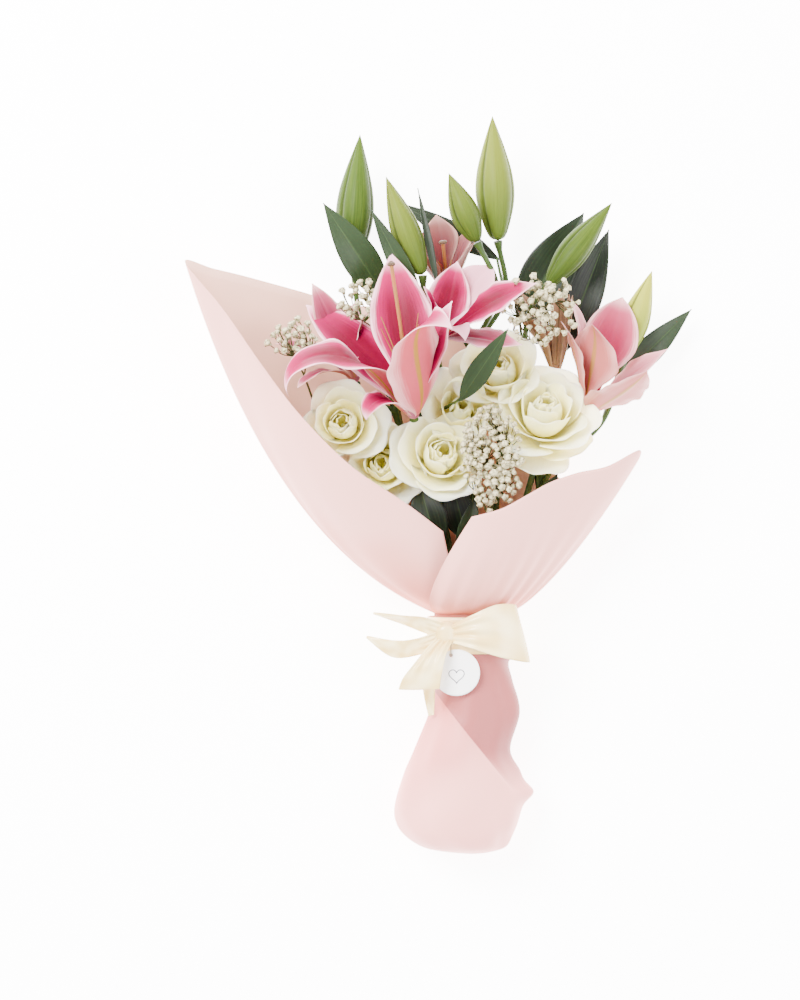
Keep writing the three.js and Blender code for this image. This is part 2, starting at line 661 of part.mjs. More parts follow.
const sprayStalk = ({ neck, way, hub, branches }) => (grow) => {
  const pieces = [tube([...through(neck), ...way, hub], GYP_STEM + grow, { sides: 4, steps: 7 })];
  pieces.push(bead(hub, SPRAY.hub + grow));
  for (const end of branches) {
    pieces.push(tube([hub, end], SPRAY.branch + grow, { sides: 3, steps: 1 }));
    pieces.push(bead(end, SPRAY.knot + grow));
  }
  return union(pieces);
};

// One floret on its stalk: a slim stalk, a flared calyx and a domed top, from `root` to `end`.
const floretOn = (root, end) => (grow) => {
  const long = root.distanceTo(end);
  const profile = [
    [0, -FLOWER.root - grow],
    [FLOWER.root + grow, 0],
    [FLOWER.stalk + grow, long - FLOWER.calyx],
    [FLORET + grow, long - FLOWER.brim],
    [0, long + FLOWER.crown + grow],
  ].map(([r, h]) => new THREE.Vector2(r, h));
  const turn = new THREE.Quaternion().setFromUnitVectors(vec(0, 1, 0), end.clone().sub(root).normalize());
  const lathed = new THREE.LatheGeometry(profile, FLOWER.sides);
  return solid(lathed.applyQuaternion(turn).translate(root.x, root.y, root.z));
};

// Florets drawn at random in the cloud, each on the nearest branch. One that would touch a neighbour is
// left out.
function florets({ branches, cloud, half, count, seed }, blocked) {
  const draw = random(seed);
  const kept = [];
  for (let tries = 0; tries < count * 8 && kept.length < count; tries++) {
    const [u, v, w] = [draw() * 2 - 1, draw() * 2 - 1, draw() * 2 - 1];
    if (u * u + v * v + w * w > 1) continue;
    const end = vec(cloud.x + u * half.x, cloud.y + v * half.y, cloud.z + w * half.z);
    if (kept.some((other) => other.end.distanceTo(end) < FLOWER.apart * FLORET)) continue;
    const root = branches.reduce((best, p) => (p.distanceTo(end) < best.distanceTo(end) ? p : best));
    if (root.distanceTo(end) < 2 * FLOWER.calyx) continue;
    const make = floretOn(root, end);
    if (blocked(make(GAP))) continue;
    kept.push({ end, make });
  }
  return kept.map((floret) => floret.make);
}

// ---------------------------------------------------------------- the wrap
// A sheet of the wrap is a fan of ribs. Each rib stands at an angle round the neck (0 right, 90 front, 180
// left, 270 back on the table), rises from the neck, bends at its second point and ends at its third.
const BACK_SHEET = {
  lift: 0,
  ribs: [
    [98, vec(8, -95, 86), vec(-2, -45, 95)],
    [112, vec(-18, -95, 96), vec(-35, -20, 110)],
    [128, vec(-62, -85, 104), vec(-82, 12, 124)],
    [142, vec(-102, -70, 100), vec(-125, 55, 126)],
    [154, vec(-130, -62, 88), vec(-158, 98, 120)],
    [165, vec(-146, -58, 72), vec(-193, 148, 110)],
    [175, vec(-152, -56, 56), vec(-226, 189, 98)],
    [190, vec(-140, -52, 34), vec(-203, 185, 74)],
    [205, vec(-112, -50, 12), vec(-176, 180, 50)],
    [222, vec(-72, -52, -6), vec(-129, 169, 20)],
    [240, vec(-30, -60, -12), vec(-85, 158, -2)],
    [260, vec(10, -60, -12), vec(-25, 154, -4)],
    [280, vec(35, -60, -12), vec(30, 135, -3)],
    [300, vec(55, -62, -8), vec(62, 105, 6)],
    [320, vec(72, -74, 8), vec(84, 52, 24)],
    [338, vec(80, -80, 22), vec(98, 6, 40)],
    [352, vec(82, -80, 34), vec(112, 0, 52)],
  ],
};
const FRONT_SHEET = {
  lift: 2.1,
  ribs: [
    [150, vec(-30, -112, 100), vec(22, -32, 124)],
    [132, vec(-8, -108, 114), vec(34, -29, 125)],
    [112, vec(14, -104, 120), vec(50, -24, 123)],
    [92, vec(38, -100, 116), vec(72, -12, 118)],
    [72, vec(60, -96, 104), vec(91, -2, 110)],
    [52, vec(78, -90, 90), vec(114, 6, 99)],
    [32, vec(94, -86, 74), vec(141, 12, 90)],
    [12, vec(105, -84, 58), vec(170, 26, 78)],
    [-8, vec(106, -88, 42), vec(164, 8, 58)],
    [-26, vec(94, -94, 26), vec(138, -18, 38)],
  ],
};
const WRAP_ROWS = 7;
const IN_NECK = 1 / WRAP_ROWS; // share of a rib that lies in the neck

// A value read smoothly from a list at `u` from 0 to 1.
function smooth(list, u) {
  const x = Math.min(Math.max(u, 0), 1) * (list.length - 1);
  const k = Math.min(Math.floor(x), list.length - 2);
  const [a, d] = [list[Math.max(k - 1, 0)], list[Math.min(k + 2, list.length - 1)]];
  const [b, c] = [list[k], list[k + 1]];
  const t = x - k;
  return 0.5 * (2 * b + (c - a) * t + (2 * a - 5 * b + 4 * c - d) * t * t + (3 * b - a - 3 * c + d) * t ** 3);
}
const smoothPoint = (points, u) => vec(...["x", "y", "z"].map((key) => smooth(points.map((p) => p[key]), u)));

function neckRing(angle, lift, y) {
  const turn = radians(angle);
  return vec(NECK.x + (NECK.rx + lift) * Math.cos(turn), y, NECK.z + (NECK.rz + lift) * Math.sin(turn));
}

function onTable(p) {
  p.z = Math.max(p.z, PAPER / 2);
  return p;
}

const wrapPoint = ({ lift, ribs }) => (t, q) => {
  const u = (q + 1) / 2;
  const angle = smooth(ribs.map((rib) => rib[0]), u);
  if (t < IN_NECK) return neckRing(angle, lift, mix(NECK_LOW, NECK_TOP, t / IN_NECK));
  const s = (t - IN_NECK) / (1 - IN_NECK);
  const bend = smoothPoint(ribs.map((rib) => rib[1]), u);
  const end = smoothPoint(ribs.map((rib) => rib[2]), u);
  const foot = neckRing(angle, lift, NECK_TOP);
  return onTable(along(vec(0, 0, 0), [foot, (1 - s) ** 2], [bend, 2 * s * (1 - s)], [end, s * s]));
};

const wrapSheet = (fan) => (grow) => {
  return sheet(wrapPoint(fan), { rows: WRAP_ROWS, cols: fan.ribs.length - 1, thick: PAPER, grow });
};

// The sleeve round the stem ends: y, middle x, half width and half depth from the neck to the bottom.
const SLEEVE = [
  [-124, 24, 37.4, 30.4],
  [-153, 24, 37, 30],
  [-163, 25, 31.5, 28.4],
  [-178, 26.5, 33, 29],
  [-206, 27, 38.5, 30.5],
  [-239, 16, 41, 33],
  [-260, 15, 50, 34],
  [-282, 13, 54.5, 34],
  [-300, 12, 53.5, 33],
  [-315, 13, 47, 30],
  [-326, 18, 35, 23],
  [-331, 24, 14, 9],
];
const SLEEVE_SIDES = 14;
const SLEEVE_END = -332.5;
const EAR = { y: -277, high: 8, out: 9, spread: 0.4 }; // a corner of the sheet that sticks out on the right
const PLEAT = { count: 4, deep: 0.035, slant: 3, from: 0.15, rise: 6 };

function sleevePoint(t, q) {
  const [y, x, wide, deep] = [0, 1, 2, 3].map((key) => smooth(SLEEVE.map((ring) => ring[key]), t));
  if (t >= 1) return vec(x, SLEEVE_END, NECK.z);
  const angle = Math.PI * q;
  const ear = EAR.out * Math.exp(-(((y - EAR.y) / EAR.high) ** 2) - (angle / EAR.spread) ** 2);
  const fade = Math.min(PLEAT.rise * Math.max(t - PLEAT.from, 0), 1);
  const pleat = 1 + fade * PLEAT.deep * Math.sin(PLEAT.count * angle + PLEAT.slant * t);
  return onTable(vec(x + (wide * pleat + ear) * Math.cos(angle), y, NECK.z + deep * pleat * Math.sin(angle)));
}
const sleeve = (grow) => {
  const rows = SLEEVE.length - 1;
  return sheet(sleevePoint, { rows, cols: SLEEVE_SIDES, thick: PAPER, round: true, pole: true, grow });
};

// ---------------------------------------------------------------- ribbon and tag
const RIBBON = { thick: 1, lift: 6, swell: 1, top: -121, low: -153 };
const KNOT = { at: vec(1, -135, 69), radius: 10, stretch: vec(1, 1.1, 0.75) };

// A strip of ribbon: its middle points, each with its half width and the way its width lies.
const strip = (stations) => (t, q) => {
  const way = smoothPoint(stations.map((s) => s[2]), t).normalize();
  return along(smoothPoint(stations.map((s) => s[0]), t), [way, q * smooth(stations.map((s) => s[1]), t)]);
};
const BOW = {
  right_loop: [
    [vec(4, -135, 72), 7, vec(0, 1, 0)],
    [vec(24, -132, 83), 15, vec(0.05, 1, 0)],
    [vec(46, -132, 83), 23, vec(-0.1, 1, 0)],
    [vec(64, -134, 76), 26, vec(-0.2, 1, 0.02)],
    [vec(68, -135, 68), 25, vec(-0.22, 1, 0.05)],
    [vec(54, -134, 66), 22, vec(-0.15, 1, 0)],
    [vec(32, -134, 69), 14, vec(0, 1, 0)],
    [vec(4, -135, 67), 6, vec(0, 1, 0)],
  ],
  left_loop: [
    [vec(1, -137, 72), 7, vec(1, 0, 0)],
    [vec(-12, -154, 81), 14, vec(1, 0.3, 0)],
    [vec(-20, -171, 81), 17, vec(1, 0.1, 0.1)],
    [vec(-23, -183, 78), 18, vec(1, 0, 0.15)],
    [vec(-21, -174, 73), 16, vec(1, 0, 0.1)],
    [vec(-14, -157, 73), 10, vec(1, 0.2, 0)],
    [vec(-1, -139, 69), 6, vec(1, 0, 0)],
  ],
  upper_tail: [
    [vec(3, -134, 70), 7, vec(0, 1, 0.2)],
    [vec(-18, -127, 74), 8, vec(0, 1, 0.5)],
    [vec(-40, -122, 71), 5.5, vec(0.1, 1, 0.9)],
    [vec(-63, -117, 66), 1, vec(0.1, 1, 0.6)],
  ],
  lower_tail: [
    [vec(3, -136, 70), 7, vec(0, 1, 0)],
    [vec(-24, -146, 71), 8, vec(0, 1, 0.3)],
    [vec(-46, -148, 67), 8, vec(0.15, 1, 0.3)],
    [vec(-69, -138, 62), 1, vec(0.2, 1, 0)],
  ],
  down_tail: [
    [vec(-2, -137, 64), 6, vec(1, 0, 0)],
    [vec(-15, -158, 56), 7, vec(1, 0.1, 0.4)],
    [vec(-14, -184, 54), 6, vec(1, 0.1, 0.6)],
    [vec(-12, -208, 50), 3, vec(1, 0.3, 0.6)],
  ],
};

const ribbon = (grow) => {
  const band = (t, q) => {
    const lift = RIBBON.lift + RIBBON.swell * Math.sin(Math.PI * t);
    return neckRing(180 * q, lift, mix(RIBBON.low, RIBBON.top, t));
  };
  const pieces = [sheet(band, { rows: 2, cols: SLEEVE_SIDES, thick: RIBBON.thick, round: true, grow })];
  pieces.push(ball(vec(0, 0, 0), KNOT.radius + grow, KNOT.stretch, 1).translate(KNOT.at.toArray()));
  for (const stations of Object.values(BOW)) {
    const rows = Math.round(1.5 * (stations.length - 1));
    pieces.push(sheet(strip(stations), { rows, cols: 1, thick: RIBBON.thick, grow }));
  }
  return union(pieces);
};

const TAG = { at: vec(10, -169, 68.6), radius: 20.5, thick: 0.7, hole: 1.7, holeAt: [-5, 15.5], tilt: 0.07 };
const TIE = { wire: 0.6, front: 73, back: 67.6, top: -144, stop: 1.7 };

const tag = (grow) => {
  const outline = new THREE.Shape().absarc(0, 0, TAG.radius + grow, 0, 2 * Math.PI);
  outline.holes.push(new THREE.Path().absarc(...TAG.holeAt, TAG.hole - grow, 0, 2 * Math.PI, true));
  const depth = TAG.thick + 2 * grow;
  const disc = new THREE.ExtrudeGeometry(outline, { depth, bevelEnabled: false, curveSegments: 8 });
  disc.translate(0, 0, -grow).rotateX(TAG.tilt).translate(TAG.at.x, TAG.at.y, TAG.at.z);
  return solid(disc);
};

// The tie is a cord from the knot, down over the tag and through its hole to a stopper knot behind it.
const tagTie = (grow) => {
  const [x, y] = [TAG.at.x + TAG.holeAt[0], TAG.at.y + TAG.holeAt[1]];
  const end = vec(x, y, TIE.back);
  const way = [vec(x, TIE.top, TIE.front), vec(x, y + 4, TIE.front), vec(x, y, TIE.front - 2), end];
  return union([tube(way, TIE.wire + grow, { sides: 4, steps: 6 }), bead(end, TIE.stop + grow)]);
};

// ---------------------------------------------------------------- putting it together
// Pieces are placed in order. Each is cut back where it would touch one placed before it.
const placed = [];
const bouquet = new THREE.Group();
bouquet.name = "bouquet";

const apart = (a, b) => [0, 1, 2].some((k) => a.min[k] > b.max[k] || b.min[k] > a.max[k]);

function cutBack(made) {
  const box = made.boundingBox();
  const near = placed.filter((other) => !apart(box, other.box));
  return near.length ? largest(made.subtract(union(near.map((other) => other.grown)))) : largest(made);
}

function touches(made) {
  const box = made.boundingBox();
  return placed.some((other) => !apart(box, other.box) && made.intersect(other.grown).volume() > 1e-6);
}

function show(name, material, made) {
  const out = made.simplify(FINEST).getMesh();
  const geometry = new THREE.BufferGeometry();
  const points = new Float32Array(out.numVert * 3);
  for (let k = 0; k < out.numVert; k++) {
    points.set(out.vertProperties.subarray(k * out.numProp, k * out.numProp + 3), k * 3);
  }
  geometry.setAttribute("position", new THREE.BufferAttribute(points, 3));
  geometry.setIndex(new THREE.BufferAttribute(out.triVerts, 1));
  geometry.computeVertexNormals();
  const [color, roughness] = COLOURS[material];
  const mesh = new THREE.Mesh(geometry, new THREE.MeshStandardMaterial({ color, roughness, metalness: 0 }));
  mesh.name = name;
  bouquet.add(mesh);
}

function place(name, material, make) {
  show(name, material, cutBack(make(0)));
  const grown = make(GAP);
  placed.push({ grown, box: grown.boundingBox() });
}

place("ribbon", "ribbon", ribbon);
place("stem_sleeve", "sleeve", sleeve);
place("wrap_front", "paper", wrapSheet(FRONT_SHEET));
place("wrap_back", "paper", wrapSheet(BACK_SHEET));
place("tag", "tag", tag);
place("tag_tie", "tie", tagTie);
for (const [name, stem] of Object.entries(LILY_STEMS)) place(name, "leaf", lilyStem(stem));
for (const [name, stem] of Object.entries(ROSE_STEMS)) place(name, "leaf", roseStem(stem));

// The stalks of the sprays keep their way free before the blooms are set; the florets follow last.
const stalks = Object.entries(SPRAYS).map(([name, spray]) => {
  const grown = sprayStalk(spray)(GAP);
  const body = cutBack(sprayStalk(spray)(0));
  const entry = { grown, box: grown.boundingBox() };
  placed.push(entry);
  return { name, spray, body, entry };
});

const BLOOMS = [
  "lily_1", "rose_2", "rose_3", "lily_2", "lily_4", "rose_1",
  "rose_4", "lily_3", "rose_6", "rose_5", "lily_6", "lily_5",
];
for (const name of BLOOMS) {
  if (ROSES[name]) place(name, "rose", roseHead(ROSES[name]));
  else place(name, "lily", lilyPetals(LILIES[name]));
}
for (const [name, bloom] of Object.entries(LILIES)) {
  if (bloom.stamens) place(name.replace("lily", "stamens"), "stamens", lilyStamens(bloom));
}
for (const [name, shape] of Object.entries(BUDS)) place(name, "bud", bud(shape));

for (const { name, spray, body, entry } of stalks) {
  placed.splice(placed.indexOf(entry), 1);
  const flowers = florets(spray, touches);
  show(name, "gypsophila", largest(union([body, ...flowers.map((flower) => flower(0))])));
  const grown = union([sprayStalk(spray)(GAP), ...flowers.map((flower) => flower(GAP))]);
  placed.push({ grown, box: grown.boundingBox() });
}

export default bouquet;
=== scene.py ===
import bpy
import numpy as np
from mathutils.bvhtree import BVHTree
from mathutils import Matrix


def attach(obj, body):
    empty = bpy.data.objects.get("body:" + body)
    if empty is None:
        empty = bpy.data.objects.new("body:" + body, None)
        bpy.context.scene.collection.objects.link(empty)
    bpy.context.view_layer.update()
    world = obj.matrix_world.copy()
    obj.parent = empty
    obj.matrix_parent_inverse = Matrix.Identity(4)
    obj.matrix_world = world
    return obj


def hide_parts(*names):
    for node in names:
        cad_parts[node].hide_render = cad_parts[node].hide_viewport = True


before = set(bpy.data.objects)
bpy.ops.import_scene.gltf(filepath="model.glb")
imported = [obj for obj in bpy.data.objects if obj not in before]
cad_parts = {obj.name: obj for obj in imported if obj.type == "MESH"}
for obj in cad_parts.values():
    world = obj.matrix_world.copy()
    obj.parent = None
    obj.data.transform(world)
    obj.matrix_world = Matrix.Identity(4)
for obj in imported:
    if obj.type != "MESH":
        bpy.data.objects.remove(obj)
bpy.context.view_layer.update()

# ---------------------------------------------------------------- lily blooms
# Six oriental lilies, each of six fleshy tepals that grow from one throat. The outer three stand behind the
# inner three, and each is a long pointed blade with a waved margin and a groove down its middle.
MM = 0.001  # Blender works in metres
LILY = {"throat": 3.8, "foot": 6.2, "step": 0.8, "wrap": 0.6}  # how its tepals stand round the throat
TEPAL = {"belly": 1.1, "claw": 0.16, "tube": (0.2, 0.6), "cup": 0.12, "wave": 2, "sway": 0, "twist": 0}
TEPAL_TIP = 0.6
TEPAL_THICK = 0.5
LILIES = {  # each petal: its turn, opening, length, half width and what else it has of its own
    "lily_1": {
        "at": (-28, 57, 98),
        "axis": (-0.12, 0.8, 0.58),
        "skin": "vivid",
        "petals": [
            (88, (24, 40, 60), 142, 27, {"cup": 0.14, "sway": 10}),
            (131, (36, 70, 80), 148, 25, {"cup": 0.2}),
            (188, (26, 56, 196), 164, 23, {"cup": 0.1, "wave": 4, "twist": 50, "claw": 0.6}),
            (222, (54, 46, 190), 72, 17, {"cup": 0.1, "tube": (0, 0.3)}),
            (322, (34, 4, 124), 140, 30, {"claw": 0.5, "tube": (0, 0.2)}),
            (40, (22, 30, 50), 104, 17, {}),
        ],
    },
    "lily_2": {
        "at": (-6, 124, 74),
        "axis": (0.22, 0.76, 0.6),
        "skin": "vivid",
        "petals": [
            (84, (16, 32, 44), 67, 17, {"cup": 0.3, "claw": 0.5, "tube": (0, 0.3)}),
            (54, (26, 46, 90), 84, 18, {"cup": 0.1, "pale": 1, "belly": 1.5}),
            (2, (22, 42, 60), 100, 20, {"cup": 0.1, "claw": 0.5, "tube": (0, 0.3)}),
            (-22, (44, 74, 70), 76, 16, {"pale": 0.3}),
            (-62, (24, 40, 150), 52, 12, {"pale": 1}),
            (166, (14, 22, 50), 52, 10, {}),
        ],
    },
    "lily_3": {
        "at": (-80, 90, 50),
        "axis": (-0.3, 0.88, 0.3),
        "skin": "pale",
        "petals": [
            (50, (12, 22, 60), 70, 12, {}),
            (112, (8, 14, 40), 92, 15, {}),
            (178, (20, 44, 80), 76, 16, {}),
            (222, (30, 74, 110), 66, 15, {}),
            (285, (20, 50, 110), 46, 11, {}),
            (350, (14, 24, 50), 62, 11, {}),
        ],
    },
    "lily_4": {
        "at": (126, 60, 46),
        "axis": (0.26, 0.86, 0.42),
        "skin": "soft",
        "petals": [
            (82, (16, 18, 60), 108, 24, {"cup": 0.3, "belly": 1.4}),
            (6, (24, 34, 40), 90, 17, {"pale": 0.7}),
            (-66, (38, 42, 30), 98, 23, {"pale": 0.7, "claw": 0.5, "tube": (0, 0.3)}),
            (-132, (26, 12, 50), 100, 25, {"pale": 0.7}),
            (-164, (24, 26, 50), 96, 15, {"pale": 0.8}),
            (150, (18, 22, 50), 102, 15, {"pale": 0.8}),
        ],
    },
    "lily_5": {
        "at": (4, 162, 34),
        "axis": (-0.12, 0.98, 0.06),
        "skin": "shaded_dusky",
        "all": {"tube": (0.35, 0.95)},
        "petals": [
            (95, (14, 14, 20), 78, 24, {}),
            (35, (16, 26, 56), 72, 16, {}),
            (-25, (18, 28, 50), 54, 12, {}),
            (-85, (24, 66, 130), 34, 11, {}),
            (-145, (18, 26, 40), 48, 12, {}),
            (155, (16, 28, 60), 76, 20, {}),
        ],
    },
    "lily_6": {
        "at": (98, 98, 40),
        "axis": (0.05, 0.98, 0.16),
        "skin": "shaded_beige",
        "all": {"tube": (0.7, 1.3)},
        "petals": [
            (90, (18, 4, -6), 72, 11, {}),
            (30, (18, 5, -2), 68, 9, {}),
            (-30, (18, 5, 4), 68, 9, {}),
            (-90, (18, 4, -4), 72, 11, {}),
            (-150, (24, 34, 60), 68, 14, {"tube": (0.2, 0.7)}),
            (150, (20, 26, 50), 76, 14, {"tube": (0.2, 0.7)}),
        ],
    },
}


def unit(v):
    v = np.asarray(v, float)
    return v / np.maximum(np.linalg.norm(v, axis=-1, keepdims=True), 1e-9)


def mix(a, b, share):
    return a + (b - a) * share


def ease(x, low, high):
    s = np.clip((x - low) / (high - low), 0, 1)
    return s * s * (3 - 2 * s)


def spokes(axis, turn):
    """A bloom's axis, the way out from it at that turn and the way round it. Turn 0 is to the right."""
    a = unit(axis)
    right = unit(np.array([1.0, 0, 0]) - a * a[0])
    angle = np.radians(turn)
    out = right * np.cos(angle) + np.cross(a, right) * np.sin(angle)
    return a, out, np.cross(a, out)


def rib_of(opening, long, start):
    """A petal's rib leans from the axis by opening[0] degrees at its foot, [1] halfway and [2] at its tip."""

    def lean(t):
        shares = ((1 - t) * (1 - 2 * t), 4 * t * (1 - t), t * (2 * t - 1))
        return np.radians(sum(angle * share for angle, share in zip(opening, shares)))

    steps = 96
    marks = np.linspace(0, 1, steps + 1)
    angles = lean((marks[:-1] + marks[1:]) / 2)
    reach = start + np.append(0, np.cumsum(np.sin(angles))) * long / steps
    rise = np.append(0, np.cumsum(np.cos(angles))) * long / steps
    return lambda t: (np.interp(t, marks, reach), np.interp(t, marks, rise), lean(t))


def built(start, *runs):
    """The points that lie so far along each way from the start."""
    return np.array(start) + sum(share[..., None] * way for share, way in runs)


def patch(ids, marks, faces, corners):
    """Adds the quads of a grid of points, with each corner's (across, along, side)."""
    less, more = slice(None, -1), slice(1, None)
    ring = [(less, less), (more, less), (more, more), (less, more)]
    faces.append(np.stack([ids[k] for k in ring], -1).reshape(-1, 4))
    corners.append(np.stack([marks[k] for k in ring], -2).reshape(-1, 4, 3))


def sheet(at, rows, cols, thick, size=(1, 1), tint=0.5, closed=False, pole=False, rim=0.3):
    """A blade with two faces and thinner margins: at(t, q) is its middle, t from 0 to 1 along it and q from
    -1 to 1 across. closed joins its two sides, pole closes its end, and size is its width and length."""
    t, q = np.meshgrid(np.linspace(0, 1, rows + 1), np.linspace(-1, 1, cols + 1), indexing="ij")
    step = 1e-3
    along = at(np.minimum(t + step, 1), q) - at(np.maximum(t - step, 0), q)
    low, high = (q - step, q + step) if closed else (np.maximum(q - step, -1), np.minimum(q + step, 1))
    normal = unit(np.cross(along, at(t, high) - at(t, low)))
    edge = np.abs(2 * t - 1) if closed else np.maximum(np.abs(q), np.abs(2 * t - 1))
    half = (thick / 2 * mix(1, rim, ease(edge, 0.88, 1)))[..., None]
    points = np.stack([at(t, q) + normal * half, at(t, q) - normal * half])
    ids = np.arange(points[..., 0].size).reshape(points.shape[:3])
    if closed:
        ids[:, :, -1] = ids[:, :, 0]
    if pole:
        ids[:, -1, :] = ids[:, -1, :1]
    front, back = (np.stack([q, t, np.full_like(q, side)], -1) for side in (1, -1))
    faces, corners = [], []
    patch(ids[0], front, faces, corners)
    patch(ids[1].T, back.transpose(1, 0, 2), faces, corners)
    patch(np.stack([ids[1, 0], ids[0, 0]]), np.stack([back[0], front[0]]), faces, corners)
    if not pole:
        patch(np.stack([ids[0, -1], ids[1, -1]]), np.stack([front[-1], back[-1]]), faces, corners)
    if not closed:
        patch(np.stack([ids[0, :, 0], ids[1, :, 0]]), np.stack([front[:, 0], back[:, 0]]), faces, corners)
        patch(np.stack([ids[1, :, -1], ids[0, :, -1]]), np.stack([back[:, -1], front[:, -1]]), faces, corners)
    return points.reshape(-1, 3), np.concatenate(faces), np.concatenate(corners), size, tint


def closed_body(at, rows, cols, size=(1, 1), tint=0.5):
    """A body closed at both ends: at(t, q) is its skin, t along it and q round it from -1 to 1."""
    t, q = np.meshgrid(np.linspace(0, 1, rows + 1), np.linspace(-1, 1, cols + 1), indexing="ij")
    ids = np.arange(t.size).reshape(t.shape)
    ids[:, -1] = ids[:, 0]
    ids[0], ids[-1] = ids[0, 0], ids[-1, 0]
    marks = np.stack([q, t, np.ones_like(q)], -1)
    faces, corners = [], []
    patch(ids.T, marks.transpose(1, 0, 2), faces, corners)
    return at(t, q).reshape(-1, 3), faces[0], corners[0], size, tint


def orb(at, axis, radius, stretch=1.0):
    """A ball, stretched along its axis."""
    a, u, v = spokes(axis, 0)

    def skin(t, q):
        high, flat, angle = np.cos(np.pi * t), np.sin(np.pi * t), np.pi * q
        around = np.cos(angle)[..., None] * u + np.sin(angle)[..., None] * v
        return np.array(at) - radius * (stretch * high[..., None] * a - flat[..., None] * around)

    return closed_body(skin, 12, 20)


def joined(name, parts, skin):
    """One plain mesh of several parts. Its corners carry place (across, along, side), tint and a flat map."""
    start, points, faces, corners, flats, tints = 0, [], [], [], [], []
    for spots, quads, marks, size, tint in parts:
        points.append(spots)
        faces.append(quads + start)
        corners.append(marks)
        flats.append(marks[..., :2] * (size[0] / 2, size[1]) * MM)
        tints.append(np.full(marks.shape[:2], tint))
        start += len(spots)
    quads = np.concatenate(faces)
    kept = quads != np.roll(quads, 1, axis=1)
    used, loops = np.unique(quads[kept], return_inverse=True)
    count = kept.sum(axis=1)
    mesh = bpy.data.meshes.new(name)
    mesh.vertices.add(len(used))
    mesh.vertices.foreach_set("co", (np.concatenate(points)[used] * MM).ravel())
    mesh.loops.add(len(loops))
    mesh.loops.foreach_set("vertex_index", loops.ravel())
    mesh.polygons.add(len(count))
    mesh.polygons.foreach_set("loop_start", np.cumsum(count) - count)
    mesh.update(calc_edges=True)
    flat = mesh.uv_layers.new(name="flat")
    flat.data.foreach_set("uv", np.concatenate(flats)[kept].ravel())
    place = mesh.attributes.new("place", "FLOAT_VECTOR", "CORNER")
    place.data.foreach_set("vector", np.concatenate(corners)[kept].ravel())
    shade = mesh.attributes.new("tint", "FLOAT", "CORNER")
    shade.data.foreach_set("value", np.concatenate(tints)[kept].ravel())
    mesh.shade_smooth()
    mesh.materials.append(skin)
    made = bpy.data.objects.new(name, mesh)
    bpy.context.collection.objects.link(made)
    return made


def fit(piece, node):
    """The piece rides with the bouquet and stands for that CAD node."""
    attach(piece, "root")
    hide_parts(node)
    return piece


def linear(code):
    """An sRGB hex value as linear red, green, blue and alpha."""
    parts = [int(code[k : k + 2], 16) / 255 for k in (1, 3, 5)]
    return (*(c / 12.92 if c <= 0.04045 else ((c + 0.055) / 1.055) ** 2.4 for c in parts), 1)


EASED = {"interpolation_type": "SMOOTHSTEP"}  # for a MapRange that sets off and arrives gently


def add(tree, kind, into=None, **settings):
    """Adds a node. into gives a value, a node or a node's output for its sockets, by name or number: a Mix
    takes its share at 0 and its colours at 6 and 7, a MapRange its value at 0 and its ranges at 1 to 4."""
    node = tree.nodes.new(kind if "Node" in kind else f"ShaderNode{kind}")
    if kind == "Mix":
        node.data_type = "RGBA"
    for setting, value in settings.items():
        setattr(node, setting, value)
    for socket, value in (into or {}).items():
        if isinstance(value, bpy.types.Node):
            value = value.outputs[2 if value.bl_idname == "ShaderNodeMix" else 0]
        if isinstance(value, bpy.types.NodeSocket):
            tree.links.new(value, node.inputs[socket])
        else:
            node.inputs[socket].default_value = value
    return node


def new_skin(name, settings):
    """A new material, with these inputs of its principled node set, and its tree."""
    skin = bpy.data.materials.new(name)
    skin.use_nodes = True
    for socket, value in settings.items():
        skin.node_tree.nodes["Principled BSDF"].inputs[socket].default_value = value
    return skin, skin.node_tree


def living_skin(name, roughness, depth, shine=0.12, glow=0.12, reach=(1.0, 0.45, 0.3)):
    """A new material for plant tissue, and its tree. depth is how far light goes in, in mm, reach how far
    each colour of it does, and glow how much of it comes out again."""
    settings = {
        "Roughness": roughness,
        "Specular IOR Level": shine,
        "Subsurface Weight": glow,
        "Subsurface Radius": reach,
        "Subsurface Scale": depth * MM,
    }
    return new_skin(name, settings)


def place_of(tree):
    """Where a spot is on its blade, from the mesh's own attribute: the shares across and along, the side,
    and how far away it is from the middle."""
    mark = add(tree, "Attribute", attribute_name="place")
    part = add(tree, "SeparateXYZ", {0: mark.outputs["Vector"]})
    away = add(tree, "Math", {0: part}, operation="ABSOLUTE")
    return {"across": part.outputs[0], "along": part.outputs[1], "side": part.outputs[2], "away": away}


def tint_of(tree):
    """The shade that a part of the mesh was given."""
    return add(tree, "Attribute", attribute_name="tint").outputs["Fac"]


def patches(tree, size, detail=2.0, flat=False):
    """Noise in patches of that size in mm, in the object's own space or across and along the flat blade."""
    spot = add(tree, "UVMap", uv_map="flat") if flat else add(tree, "TexCoord").outputs["Object"]
    scale = tuple(1 / (np.broadcast_to(size, 3) * MM))
    stretch = add(tree, "Mapping", {0: spot, "Scale": scale})
    return add(tree, "TexNoise", {"Vector": stretch, "Scale": 1.0, "Detail": detail})


def coat(tree, colour, height=None, strength=0.0, deep=0.0):
    """Gives the material its colour, and the relief of height where it is deep, in mm."""
    body = tree.nodes["Principled BSDF"]
    tree.links.new(colour.outputs[2], body.inputs["Base Color"])
    if deep:
        relief = add(tree, "Bump", {"Height": height, "Strength": strength, "Distance": deep * MM})
        tree.links.new(relief.outputs[0], body.inputs["Normal"])


